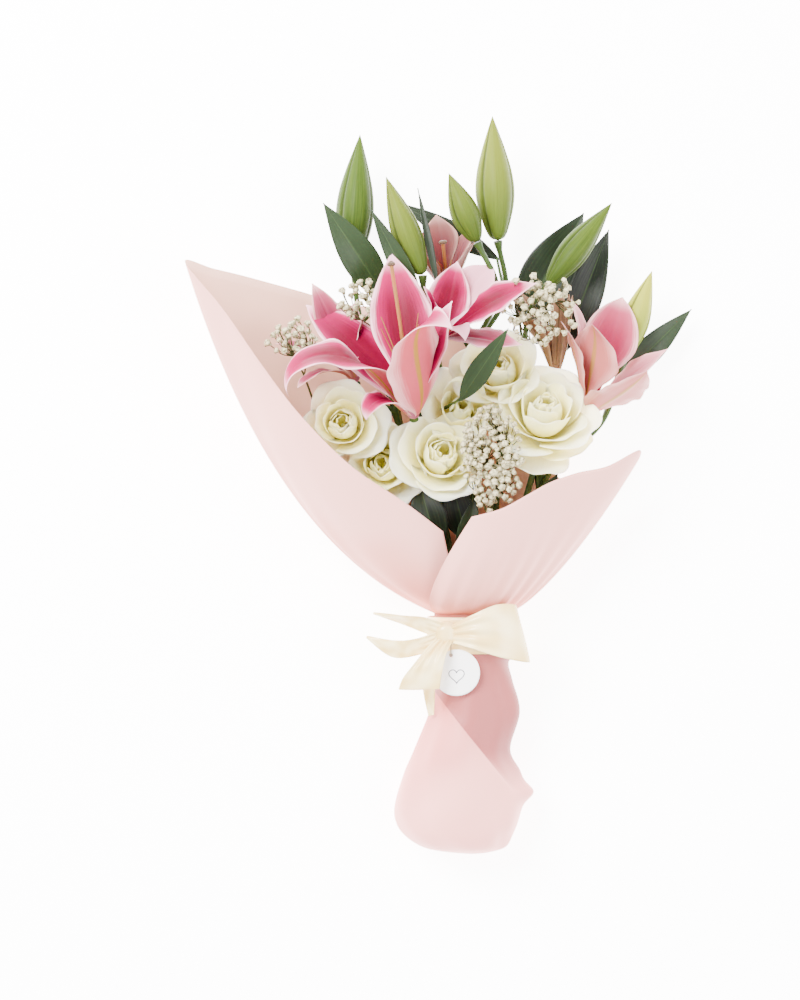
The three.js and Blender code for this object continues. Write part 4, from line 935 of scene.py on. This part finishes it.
for node, stem in ROSE_STEMS.items():
    bloom = ROSES[stem["rose"]]
    a = unit(bloom["axis"])
    top = rose_low(bloom) - 2 * GAP * a
    base = top - CALYX["long"] * a
    way = curve([*through(stem["neck"]), *stem["way"], base - 6 * a, base + 2 * a], 90)
    cup = np.linspace(base, top, 10)
    swell = CALYX["radius"] * np.sin(np.linspace(0.6, 2.2, 10))
    ways = [(way, np.full(len(way), ROSE_STEM)), (cup, swell), *leaf_stalks(stem.get("leaves", []))]
    mesh = chains(f"stalks_{node}", ways)
    fit(grown(f"stalks_{node}", mesh, STALKS, Sides=14, Skin=STALK_SKIN), node)
    blades = leaf_parts(stem.get("leaves", []))
    for k in range(SEPALS["count"]):
        star = sepal(top - 1.5 * a, a, 360 * k / SEPALS["count"])
        blades.append(sheet(star, 12, 6, LEAF_THICK, (2 * SEPALS["wide"], SEPALS["long"]), 0.9))
    fit(joined(f"leaves_{node}", blades, LEAF_SKIN), node)

# ---------------------------------------------------------------- gypsophila
# Four sprays of baby's breath. Thin wiry stalks branch from a hub, and each ends in a small double floret of
# ruffled white petals in a green cup. Geometry Nodes put one floret on the end of each stalk.
GYP_STEM, TWIG, FLORET = 1.3, 0.45, 3.2
SPRAYS = {
    "gypsophila_1": {
        "neck": (12, 15),
        "way": [(40, -70, 66)],
        "hub": (38, -34, 80),
        "branches": [(30, -12, 92), (46, -6, 92), (36, 18, 94), (50, 24, 92)],
        "cloud": (40, 20, 106),
        "half": (28, 48, 14),
        "count": 180,
        "seed": 11,
    },
    "gypsophila_2": {
        "neck": (12, -3),
        "way": [(46, -30, 22), (50, 50, 12), (62, 134, 15)],
        "hub": (64, 138, 62),
        "branches": [(64, 142, 80), (82, 142, 88), (94, 156, 84), (74, 122, 90)],
        "cloud": (82, 150, 98),
        "half": (36, 34, 14),
        "count": 90,
        "seed": 29,
    },
    "gypsophila_3": {
        "neck": (-14, 14),
        "way": [(-22, -50, 46), (-31, 0, 42), (-38, 50, 40), (-49, 104, 48)],
        "hub": (-56, 130, 66),
        "branches": [(-74, 140, 78), (-62, 148, 78)],
        "cloud": (-72, 158, 84),
        "half": (24, 18, 10),
        "count": 40,
        "seed": 37,
    },
    "gypsophila_4": {
        "neck": (-24, 1),
        "way": [(-54, -24, 23), (-80, 10, 22), (-108, 50, 34)],
        "hub": (-124, 92, 60),
        "branches": [(-132, 108, 74), (-120, 114, 72)],
        "cloud": (-132, 122, 82),
        "half": (26, 20, 10),
        "count": 45,
        "seed": 41,
    },
}


def floret_shape():
    """One floret of unit size along +Z: a domed top with five ruffled lobes on a narrow cup."""
    rings = ((0.25, -1.25), (0.55, -0.55), (1.0, 0.0), (0.78, 0.42), (0.34, 0.62))
    lobes = 10
    points, faces = [(0, 0, -1.5)], []
    for level, (wide, high) in enumerate(rings):
        for k in range(lobes):
            angle = 2 * np.pi * k / lobes
            out = wide * (1 + (0.2 if k % 2 else -0.14) * min(level, 3) / 3)
            points.append((out * np.cos(angle), out * np.sin(angle), high - 0.1 * (k % 2)))
    points.append((0, 0, 0.45))
    for k in range(lobes):
        after = (k + 1) % lobes
        faces.append((0, 1 + after, 1 + k))
        for level in range(len(rings) - 1):
            low, high = 1 + level * lobes, 1 + (level + 1) * lobes
            faces.append((low + k, low + after, high + after, high + k))
        crown = 1 + (len(rings) - 1) * lobes
        faces.append((crown + k, crown + after, len(points) - 1))
    mesh = bpy.data.meshes.new("floret")
    mesh.from_pydata(points, [], faces)
    return mesh


def floret_rule():
    """Geometry Nodes: one floret on every point, turned along its aim and a little larger or smaller."""
    tree, given = new_rule("florets", {"Floret": "Object", "Radius": "Float", "Skin": "Material"})
    aim = add(tree, "GeometryNodeInputNamedAttribute", {"Name": "aim"}, data_type="FLOAT_VECTOR")
    turn = add(tree, "FunctionNodeAlignRotationToVector", {"Vector": aim}, axis="Z")
    grades = add(tree, "FunctionNodeRandomValue", {2: 0.72, 3: 1.12, "Seed": 5}, data_type="FLOAT")
    scale = add(tree, "Math", {0: grades.outputs[1], 1: given["Radius"]}, operation="MULTIPLY")
    flower = add(tree, "GeometryNodeObjectInfo", {"Object": given["Floret"]}).outputs["Geometry"]
    ends = {"Points": given["Geometry"], "Instance": flower, "Rotation": turn, "Scale": scale}
    spread = add(tree, "GeometryNodeInstanceOnPoints", ends)
    real = add(tree, "GeometryNodeRealizeInstances", {"Geometry": spread})
    soft = add(tree, "GeometryNodeSetShadeSmooth", {"Geometry": real})
    coated = add(tree, "GeometryNodeSetMaterial", {"Geometry": soft, "Material": given["Skin"]})
    add(tree, "NodeGroupOutput", {"Geometry": coated})
    return tree


def cloud_of(spray, near):
    """Seeded spots in the spray's cloud that keep clear of one another and of the blooms."""
    luck = np.random.default_rng(spray["seed"])
    roots = np.array(spray["branches"], float)
    kept = []
    for _ in range(spray["count"] * 40):
        if len(kept) == spray["count"]:
            break
        v = luck.uniform(-1, 1, 3)
        if v @ v > 1:
            continue
        end = np.array(spray["cloud"]) + v * spray["half"]
        if any(np.linalg.norm(other - end) < 1.5 * FLORET for _, other in kept):
            continue
        root = roots[np.argmin(np.linalg.norm(roots - end, axis=1))]
        if np.linalg.norm(root - end) < 2 * FLORET:
            continue
        if any(tree.find_nearest(end * MM, 1.2 * FLORET * MM)[0] is not None for tree in near):
            continue
        kept.append((root, end))
    return kept


# Gypsophila petal: matt white, a little cream. Patches about 2.2 mm across are darkened to grey-green:
# painted shade for the folds of each floret.
def floret_skin():
    skin, tree = living_skin("gypsophila_floret", roughness=0.7, depth=1.0)
    folds = patches(tree, 2.2, 3.0)
    unshaded_share = add(tree, "MapRange", {0: folds, 1: 0.34, 2: 0.6})
    coat(tree, add(tree, "Mix", {0: unshaded_share, 6: linear("#605A3C"), 7: linear("#C6BC98")}), folds, 0.7, 0.6)
    return skin


FLORETS = floret_rule()
FLORET_SKIN = floret_skin()
# Gypsophila stalk: wiry, dry and greyish olive, with short darker stretches about 6 mm long.
TWIG_SKIN = mottled(living_skin("gypsophila_stalk", 0.6, depth=0.5), 6, "#2A2814", "#504E28")
pattern = bpy.data.objects.new("floret", floret_shape())
surfaces = bpy.context.evaluated_depsgraph_get()
near = [BVHTree.FromObject(bloom, surfaces) for bloom in blooms]
for node, spray in SPRAYS.items():
    ends = cloud_of(spray, near)
    trunk = curve([*through(spray["neck"]), *spray["way"], spray["hub"]], 90)
    ways = [(trunk, np.linspace(GYP_STEM, 1.0, len(trunk)))]
    ways += [(np.linspace(spray["hub"], end, 9), np.linspace(0.9, 0.6, 9)) for end in spray["branches"]]
    for root, end in ends:
        middle = mix(root, end, 0.5) + 0.12 * np.linalg.norm(end - root) * unit(end - spray["cloud"])
        ways.append((curve([root, middle, end], 6), np.full(7, TWIG)))
    fit(
        grown(f"twigs_{node}", chains(f"twigs_{node}", ways), STALKS, Sides=5, Skin=TWIG_SKIN),
        node,
    )
    spots = bpy.data.meshes.new(f"florets_{node}")
    spots.from_pydata([tuple(end * MM) for _, end in ends], [], [])
    aims = np.array([unit(end - root) for root, end in ends])
    spots.attributes.new("aim", "FLOAT_VECTOR", "POINT").data.foreach_set("vector", aims.ravel())
    made = grown(
        f"florets_{node}", spots, FLORETS, Floret=pattern, Radius=FLORET * MM, Skin=FLORET_SKIN
    )
    fit(made, node)
bpy.data.objects.remove(pattern)

# ---------------------------------------------------------------- paper wrap
# Two large sheets of pale pink florist's paper. The back one goes under the flowers and up on the left, the
# front one folds over from the right, and both are gathered in the neck. Their inner side is plain beige.
PAPER = 0.8
WRAP_THICK = 0.6
IN_NECK = 1 / 7  # share of a rib that lies in the neck
BACK_SHEET = {  # each rib: its angle round the neck, the point it bends towards and its end
    "lift": 0,
    "ribs": [
        (352, (82, -80, 34), (112, 0, 52)),
        (338, (80, -80, 22), (98, 6, 40)),
        (320, (72, -74, 8), (84, 52, 24)),
        (300, (55, -62, -8), (62, 105, 6)),
        (280, (35, -60, -12), (30, 135, -3)),
        (260, (10, -60, -12), (-25, 154, -4)),
        (240, (-30, -60, -12), (-85, 158, -2)),
        (222, (-72, -52, -6), (-129, 169, 20)),
        (205, (-112, -50, 12), (-176, 180, 50)),
        (190, (-140, -52, 34), (-203, 185, 74)),
        (175, (-152, -56, 56), (-226, 189, 98)),
        (165, (-146, -58, 72), (-193, 148, 110)),
        (154, (-130, -62, 88), (-158, 98, 120)),
        (142, (-102, -70, 100), (-125, 55, 126)),
        (128, (-62, -85, 104), (-82, 12, 124)),
        (112, (-18, -95, 96), (-35, -20, 110)),
        (98, (8, -95, 86), (-2, -45, 95)),
    ],
}
FRONT_SHEET = {
    "lift": 2.1,
    "ribs": [
        (150, (-30, -112, 100), (22, -32, 124)),
        (132, (-8, -108, 114), (34, -29, 125)),
        (112, (14, -104, 120), (50, -24, 123)),
        (92, (38, -100, 116), (72, -12, 118)),
        (72, (60, -96, 104), (91, -2, 110)),
        (52, (78, -90, 90), (114, 6, 99)),
        (32, (94, -86, 74), (141, 12, 90)),
        (12, (105, -84, 58), (170, 26, 78)),
        (-8, (106, -88, 42), (164, 8, 58)),
        (-26, (94, -94, 26), (138, -18, 38)),
    ],
}
GATHER = {"deep": 1.1, "folds": 9}  # soft folds that fan out from the neck
# Painted shade for the plain side down in the neck, where the paper is gathered.
LINING_PAINTED_SHADE = "#7A5A4C"  # the plain side down where it is gathered


def smooth(values, u):
    """A value or point read smoothly from a list, at u from 0 to 1."""
    values = np.asarray(values, float)
    x = np.clip(u, 0, 1) * (len(values) - 1)
    k = np.minimum(np.floor(x).astype(int), len(values) - 2)
    last = len(values) - 1
    a, b, c, d = (values[np.clip(k + step, 0, last)] for step in (-1, 0, 1, 2))
    w = (x - k).reshape(x.shape + (1,) * (values.ndim - 1))
    return 0.5 * (
        2 * b + (c - a) * w + (2 * a - 5 * b + 4 * c - d) * w**2 + (3 * b - a - 3 * c + d) * w**3
    )


def neck_ring(angle, lift, y):
    turn = np.radians(angle)
    x = NECK["x"] + (NECK["rx"] + lift) * np.cos(turn)
    z = NECK["z"] + (NECK["rz"] + lift) * np.sin(turn)
    return np.stack([x, np.broadcast_to(y, x.shape), z], -1)


def on_table(points, low=PAPER / 2):
    points[..., 2] = np.maximum(points[..., 2], low)
    return points


def wrap_point(fan):
    angles, bends, ends = ([rib[k] for rib in fan["ribs"]] for k in range(3))

    def at(t, q):
        u = (q + 1) / 2
        angle = smooth(angles, u)
        s = np.clip((t - IN_NECK) / (1 - IN_NECK), 0, 1)[..., None]
        foot = neck_ring(angle, fan["lift"], NECK_TOP)
        risen = foot * (1 - s) ** 2 + smooth(bends, u) * 2 * s * (1 - s) + smooth(ends, u) * s * s
        held = neck_ring(angle, fan["lift"], mix(NECK_LOW, NECK_TOP, np.minimum(t / IN_NECK, 1)))
        p = np.where((t < IN_NECK)[..., None], held, risen)
        outward = unit(p - np.array([NECK["x"], 0, NECK["z"]]) * (1, 0, 1) - p * (0, 1, 0))
        loose = ease(t, IN_NECK, 0.3) * (1 - ease(t, 0.35, 0.95))
        fold = GATHER["deep"] * np.sin(GATHER["folds"] * np.pi * q + 1.7 * np.sin(3 * q)) * loose
        return on_table(p + fold[..., None] * outward)

    return at


# Florist's wrapping paper: dyed pale pink on the outside and left beige inside, with a soft matt coat.
# Towards the neck, where it is gathered, both sides are painted darker: painted shade of the gathered folds.
# Fibres about 0.8 mm long give it a faint tooth.
def paper_skin(name, outside, gathered_shade, inside, roughness=0.62):
    skin, tree = new_skin(name, {"Roughness": roughness, "Specular IOR Level": 0.2})
    place = place_of(tree)
    shift = add(tree, "MapRange", {0: patches(tree, 90, 1.0), 1: 0.3, 2: 0.7, 3: -0.14, 4: 0.14})
    spread = add(tree, "Math", {0: place["along"], 1: shift}, operation="ADD")
    high = add(tree, "MapRange", {0: spread, 1: 0.16, 2: 0.78}, **EASED)
    # Towards the neck both sides get painted shade: a deeper pink outside, a darker beige inside.
    pink_and_shade = add(tree, "Mix", {0: high, 6: linear(gathered_shade), 7: linear(outside)})
    lining = add(tree, "Mix", {0: high, 6: linear(LINING_PAINTED_SHADE), 7: linear(inside)})
    outer = add(tree, "Math", {0: place["side"], 1: 0.0}, operation="LESS_THAN")
    coat(tree, add(tree, "Mix", {0: outer, 6: lining, 7: pink_and_shade}), patches(tree, 0.8), 0.12, 0.1)
    return skin


WRAP_SKIN = paper_skin("florist_wrap_paper", "#E0A096", "#D07A6C", "#DCAA96")
for node, fan in (("wrap_back", BACK_SHEET), ("wrap_front", FRONT_SHEET)):
    parts = [sheet(wrap_point(fan), 56, 180, WRAP_THICK, (400, 300), rim=0.7)]
    fit(joined(f"paper_{node}", parts, WRAP_SKIN), node)

# ---------------------------------------------------------------- stem sleeve
# A narrower sheet of deeper pink paper goes round the stem ends. It is tied in with the neck, folded across
# the front from the left, and tucked up under the cut ends, with one corner sticking out on the right.
SLEEVE = [  # each ring: its y, the x of its middle, half width and half depth
    (-124, 24, 37.4, 30.4),
    (-153, 24, 37, 30),
    (-163, 25, 31.5, 28.4),
    (-178, 26.5, 33, 29),
    (-206, 27, 38.5, 30.5),
    (-239, 16, 41, 33),
    (-260, 15, 50, 34),
    (-282, 13, 54.5, 34),
    (-300, 12, 53.5, 33),
    (-315, 13, 47, 30),
    (-326, 18, 35, 23),
    (-331, 24, 14, 9),
]
SLEEVE_END = -332.5
SLEEVE_THICK = 0.6
EAR = {"y": -277, "high": 8, "out": 9, "spread": 0.4}
PLEAT = {"count": 4, "deep": 0.035, "slant": 3, "from": 0.15}
OVERLAP = {"deep": 2.4, "soft": 1.4, "top": (-2, -196), "low": (62, -276)}  # the fold across the front
# Painted shade: the panel under the fold is painted darker above this stretch.
SHADED = (-285, -235)  # the panel under the fold is deeper above this stretch


def sleeve_point(t, q):
    ring = smooth(SLEEVE, t)
    y, x, wide, deep = (ring[..., k] for k in range(4))
    angle = np.pi * q
    ear = EAR["out"] * np.exp(-(((y - EAR["y"]) / EAR["high"]) ** 2) - (angle / EAR["spread"]) ** 2)
    fade = np.minimum(6 * np.maximum(t - PLEAT["from"], 0), 1)
    pleat = 1 + fade * PLEAT["deep"] * np.sin(PLEAT["count"] * angle + PLEAT["slant"] * t)
    facet = fade * 0.012 * (np.sin(9 * angle + 14 * t) + np.sin(5 * angle - 19 * t))
    across = x + wide * pleat * np.cos(angle)
    (x0, y0), (x1, y1) = OVERLAP["top"], OVERLAP["low"]
    beside = ((across - x0) * (y1 - y0) - (y - y0) * (x1 - x0)) / np.hypot(x1 - x0, y1 - y0)
    upper = ease(np.sin(angle), 0.1, 0.5) * ease(t, 0.2, 0.32) * (1 - ease(t, 0.8, 0.95))
    step = OVERLAP["deep"] * ease(beside, -OVERLAP["soft"], OVERLAP["soft"]) * upper
    swell = pleat + facet
    p = np.stack(
        [
            x + (wide * swell + ear) * np.cos(angle),
            mix(y, SLEEVE_END, t >= 1),
            NECK["z"] + (deep * swell + step) * np.sin(angle),
        ],
        -1,
    )
    tip = np.broadcast_to((x[..., None] * (1, 0, 0) + (0, SLEEVE_END, NECK["z"])), p.shape)
    return on_table(np.where((t >= 1)[..., None], tip, p))


# The sleeve is the same coated paper in a deeper pink, crumpled by hand, so it has broader, softer shine.
# The panel that lies under the fold is painted darker: painted shade of the fold over it.
def sleeve_skin():
    skin = paper_skin("pink_sleeve_paper", "#ECA098", "#BC5C58", "#CA7870", roughness=0.48)
    tree = skin.node_tree
    plain = tree.nodes["Principled BSDF"].inputs["Base Color"].links[0].from_node
    spot = add(tree, "TexCoord").outputs["Object"]
    (x0, y0), (x1, y1) = OVERLAP["top"], OVERLAP["low"]
    across = np.array([y1 - y0, x0 - x1, 0]) / np.hypot(x1 - x0, y1 - y0)
    fold = across[:2] @ (x0, y0)
    past = add(tree, "VectorMath", {0: spot, 1: tuple(across)}, operation="DOT_PRODUCT").outputs["Value"]
    under = add(tree, "MapRange", {0: past, 1: (fold + 0.5) * MM, 2: (fold - 0.5) * MM})
    part = add(tree, "SeparateXYZ", {0: spot})
    low, high = (y * MM for y in SHADED)
    above = add(tree, "MapRange", {0: part.outputs[1], 1: low, 2: high}, **EASED)
    share = add(tree, "Math", {0: under, 1: above}, operation="MULTIPLY")
    # Painted shade on the panel under the fold.
    coat(tree, add(tree, "Mix", {0: share, 6: plain, 7: linear("#96504E")}))
    return skin


SLEEVE_SKIN = sleeve_skin()
parts = [sheet(sleeve_point, 110, 180, SLEEVE_THICK, (290, 330), closed=True, pole=True, rim=0.7)]
fit(joined("paper_stem_sleeve", parts, SLEEVE_SKIN), "stem_sleeve")

# ---------------------------------------------------------------- satin ribbon
# One length of cream satin ribbon goes round the neck and is tied in front: a band, a knot, a wide loop on
# the right, a small one that hangs on the left, and three cut tails. It is gathered at the knot.
RIBBON = {"thick": 0.5, "lift": 6, "swell": 1, "top": -121, "low": -153}
KNOT = {"at": (1, -135, 69), "radius": 10, "stretch": (1, 1.1, 0.75)}
BOW = {  # each station of a strip: its middle, half width and the way across it
    "right_loop": [
        ((4, -135, 72), 7, (0, 1, 0)),
        ((24, -132, 83), 15, (0.05, 1, 0)),
        ((46, -132, 83), 23, (-0.1, 1, 0)),
        ((64, -134, 76), 26, (-0.2, 1, 0.02)),
        ((68, -135, 68), 25, (-0.22, 1, 0.05)),
        ((54, -134, 66), 22, (-0.15, 1, 0)),
        ((32, -134, 69), 14, (0, 1, 0)),
        ((4, -135, 67), 6, (0, 1, 0)),
    ],
    "left_loop": [
        ((1, -137, 72), 7, (1, 0, 0)),
        ((-12, -154, 81), 14, (1, 0.3, 0)),
        ((-20, -171, 81), 17, (1, 0.1, 0.1)),
        ((-23, -183, 78), 18, (1, 0, 0.15)),
        ((-21, -174, 73), 16, (1, 0, 0.1)),
        ((-14, -157, 73), 10, (1, 0.2, 0)),
        ((-1, -139, 69), 6, (1, 0, 0)),
    ],
    "upper_tail": [
        ((3, -134, 70), 7, (0, 1, 0.2)),
        ((-18, -127, 74), 8, (0, 1, 0.5)),
        ((-40, -122, 71), 5.5, (0.1, 1, 0.9)),
        ((-63, -117, 66), 1, (0.1, 1, 0.6)),
    ],
    "lower_tail": [
        ((3, -136, 70), 7, (0, 1, 0)),
        ((-24, -146, 71), 8, (0, 1, 0.3)),
        ((-46, -148, 67), 8, (0.15, 1, 0.3)),
        ((-69, -138, 62), 1, (0.2, 1, 0)),
    ],
    "down_tail": [
        ((-2, -137, 64), 6, (1, 0, 0)),
        ((-15, -158, 56), 7, (1, 0.1, 0.4)),
        ((-14, -184, 54), 6, (1, 0.1, 0.6)),
        ((-12, -208, 50), 3, (1, 0.3, 0.6)),
    ],
}


def strip(stations, folds):
    """A strip of ribbon, pleated where it comes out of the knot and smooth further on."""
    centres, halves, ways = ([station[k] for station in stations] for k in range(3))

    def at(t, q):
        way = unit(smooth(ways, t))
        run = smooth(centres, np.minimum(t + 0.01, 1)) - smooth(centres, np.maximum(t - 0.01, 0))
        face = unit(np.cross(run, way))
        tight = 1 - ease(np.minimum(t, folds[1] - t) if folds[1] else t, 0.02, 0.45)
        ripple = folds[0] * tight * np.sin(3.5 * np.pi * q + 0.8) + 0.6 * np.sin(2 * q + 5 * t)
        half = smooth(halves, t)
        return smooth(centres, t) + (q * half)[..., None] * way + ripple[..., None] * face

    return at


def band(t, q):
    lift = RIBBON["lift"] + RIBBON["swell"] * np.sin(np.pi * t)
    ply = 0.35 * np.sin(7 * np.pi * t + 1.5 * np.sin(2 * np.pi * q))
    return neck_ring(180 * q, lift + ply, mix(RIBBON["low"], RIBBON["top"], t))


def knot(t, q):
    angle, polar = np.pi * q, np.pi * t
    ball = np.stack([-np.cos(polar), np.sin(polar) * np.cos(angle), np.sin(polar) * np.sin(angle)], -1)
    crease = 1 + 0.05 * np.sin(6 * angle + 2 * np.sin(polar)) * np.sin(polar)
    return np.array(KNOT["at"]) + KNOT["radius"] * crease[..., None] * ball * KNOT["stretch"]


# Satin ribbon of fine polyester, woven with its long floats on the face: the threads are under 0.1 mm, so
# they are drawn 0.5 mm apart to show at all. Stretches 40 mm long are painted lighter and darker: painted
# sheen and painted shade along its folds.
def satin_skin():
    skin, tree = new_skin("cream_satin", {"Roughness": 0.22, "Sheen Weight": 0.25})
    threads = patches(tree, (0.5, 40, 1), 1.0, flat=True)
    # Painted sheen and shade: lighter and darker stretches about 40 mm long.
    painted_sheen = patches(tree, (40, 34, 1), 1.0, flat=True)
    glint = add(tree, "MapRange", {0: painted_sheen, 1: 0.28, 2: 0.72}, **EASED)
    cloth = add(tree, "Mix", {0: glint, 6: linear("#E0BC6C"), 7: linear("#FFECB6")})
    colour = add(tree, "Mix", {0: 0.12, 6: cloth, 7: threads.outputs["Color"]}, blend_type="SOFT_LIGHT")
    coat(tree, colour, threads, 0.2, 0.1)
    return skin


SATIN = satin_skin()
parts = [sheet(band, 20, 120, RIBBON["thick"], (32, 225), closed=True, rim=0.8)]
parts.append(closed_body(knot, 24, 48, (60, 30)))
for name, stations in BOW.items():
    folds = (1.3, 1.0) if "loop" in name else (0.7, 0)
    parts.append(sheet(strip(stations, folds), 70, 24, RIBBON["thick"], (50, 140), rim=0.8))
ribbon = fit(joined("satin_ribbon_bow", parts, SATIN), "ribbon")

# ---------------------------------------------------------------- tag and tie
# A round tag punched from white card, with a small hole and a plain heart printed in grey. A thin cord comes
# out of the knot, goes down over the card and through the hole, and ends in a stopper knot behind it.
TAG = {"at": (10, -169, 68.6), "radius": 20.5, "thick": 0.7, "hole": 1.7, "hole_at": (-5, 15.5), "tilt": 0.07}
TIE = {"wire": 0.6, "front": 73, "back": 67.6, "top": -144, "stop": 1.7}
HEART = {"size": 0.42, "line": 0.4, "at": (0, -2.5)}


def on_tag(x, y, high):
    c, s = np.cos(TAG["tilt"]), np.sin(TAG["tilt"])
    return np.stack([x, y * c - high * s, y * s + high * c], -1) + np.array(TAG["at"])


def card(t, q):
    angle = np.pi * q
    x = mix(TAG["hole_at"][0] + TAG["hole"] * np.cos(angle), TAG["radius"] * np.cos(angle), t)
    y = mix(TAG["hole_at"][1] + TAG["hole"] * np.sin(angle), TAG["radius"] * np.sin(angle), t)
    return on_tag(x, y, np.full_like(x, TAG["thick"] / 2))


# White coated card, about 350 grams: smooth and bright, with an eggshell surface of grains 0.6 mm across.
CARD_SKIN = mottled(
    new_skin("white_card", {"Roughness": 0.5}), 0.6, "#F6F4F7", "#FFFFFF", strength=0.1, deep=0.05
)
# Grey printing ink, dull and a little uneven over 0.8 mm, and a matt waxed cord, twisted every 1.5 mm.
INK = mottled(new_skin("grey_ink", {"Roughness": 0.75}), 0.8, "#3C3840", "#6E6A74", strength=0.5, deep=0.2)
CORD = mottled(new_skin("waxed_cord", {"Roughness": 0.75}), 1.5, "#6E6256", "#A39582", strength=0.5, deep=0.2)
parts = [sheet(card, 24, 96, TAG["thick"], (40, 40), closed=True, rim=0.7)]
fit(joined("round_card", parts, CARD_SKIN), "tag")
turn = np.linspace(0, 2 * np.pi, 73)
heart_x = HEART["size"] * 16 * np.sin(turn) ** 3 + HEART["at"][0]
heart_y = HEART["size"] * (
    13 * np.cos(turn) - 5 * np.cos(2 * turn) - 2 * np.cos(3 * turn) - np.cos(4 * turn)
) + HEART["at"][1]
outline = on_tag(heart_x, heart_y, np.full_like(turn, TAG["thick"]))
mesh = chains("printed_heart", [(outline, np.full(73, HEART["line"]))])
fit(grown("printed_heart", mesh, STALKS, Sides=6, Skin=INK), "tag")
hole = (TAG["at"][0] + TAG["hole_at"][0], TAG["at"][1] + TAG["hole_at"][1])
way = [
    (hole[0], TIE["top"], TIE["front"]),
    (hole[0], hole[1] + 4, TIE["front"]),
    (hole[0], hole[1], TIE["front"] - 2),
    (hole[0], hole[1], TIE["back"]),
]
stop = np.array([(hole[0], hole[1], TIE["back"] + step) for step in np.linspace(-1.2, 1.2, 9)])
ways = [(curve(way, 40), np.full(41, TIE["wire"]))]
ways.append((stop, TIE["stop"] * np.sin(np.linspace(0.3, np.pi - 0.3, 9))))
fit(grown("tag_cord", chains("tag_cord", ways), STALKS, Sides=8, Skin=CORD), "tag_tie")

# ---------------------------------------------------------------- table, light and camera
# The bouquet lies on a plain white table under large soft lamps, and the camera looks straight down on it.
# None of this is part of the object.
FLOOR_SIDE = 12.0
bpy.ops.mesh.primitive_plane_add(size=FLOOR_SIDE, location=(0, 0, -0.0003))
floor = bpy.context.object
floor.name = "table_top"
# The table is smooth white laminate that glows a little, so that the picture's ground is white. Its mottling
# is 250 mm across and too faint to see.
glow = {"Roughness": 0.9, "Emission Color": (1, 1, 1, 1), "Emission Strength": 8.0}
white = mottled(new_skin("white_table", glow), 250, "#FAFAFA", "#FFFFFF")
floor.data.materials.append(white)

world = bpy.data.worlds.new("studio")
bpy.context.scene.world = world
world.use_nodes = True
world.node_tree.nodes["Background"].inputs["Color"].default_value = (1, 1, 1, 1)
world.node_tree.nodes["Background"].inputs["Strength"].default_value = 2.5

LAMPS = [((-1.3, 1.1, 2.0), 1.4, 330), ((1.5, -0.4, 1.9), 1.4, 80)]
for k, (spot, size, power) in enumerate(LAMPS):
    light = bpy.data.lights.new(f"softbox_{k}", "AREA")
    light.size = size
    light.energy = power
    lamp = bpy.data.objects.new(f"softbox_{k}", light)
    lamp.location = spot
    aim = np.array([0.0, 0.0, 0.05]) - spot
    lamp.rotation_euler = (
        np.arctan2(np.hypot(aim[0], aim[1]), -aim[2]),
        0,
        np.arctan2(aim[0], -aim[1]) + np.pi,
    )
    bpy.context.collection.objects.link(lamp)

FRAME_HEIGHT = 0.88  # metres that the picture shows at the height of the flowers
FLOWER_HEIGHT = 0.06
CAMERA = (-0.0396, -0.0176, 2.6)
SENSOR = 24
view = bpy.data.cameras.new("camera")
view.sensor_fit = "VERTICAL"
view.sensor_height = SENSOR
view.lens = SENSOR * (CAMERA[2] - FLOWER_HEIGHT) / FRAME_HEIGHT
view.clip_end = 20
camera = bpy.data.objects.new("camera", view)
camera.location = CAMERA
bpy.context.collection.objects.link(camera)
bpy.context.scene.camera = camera
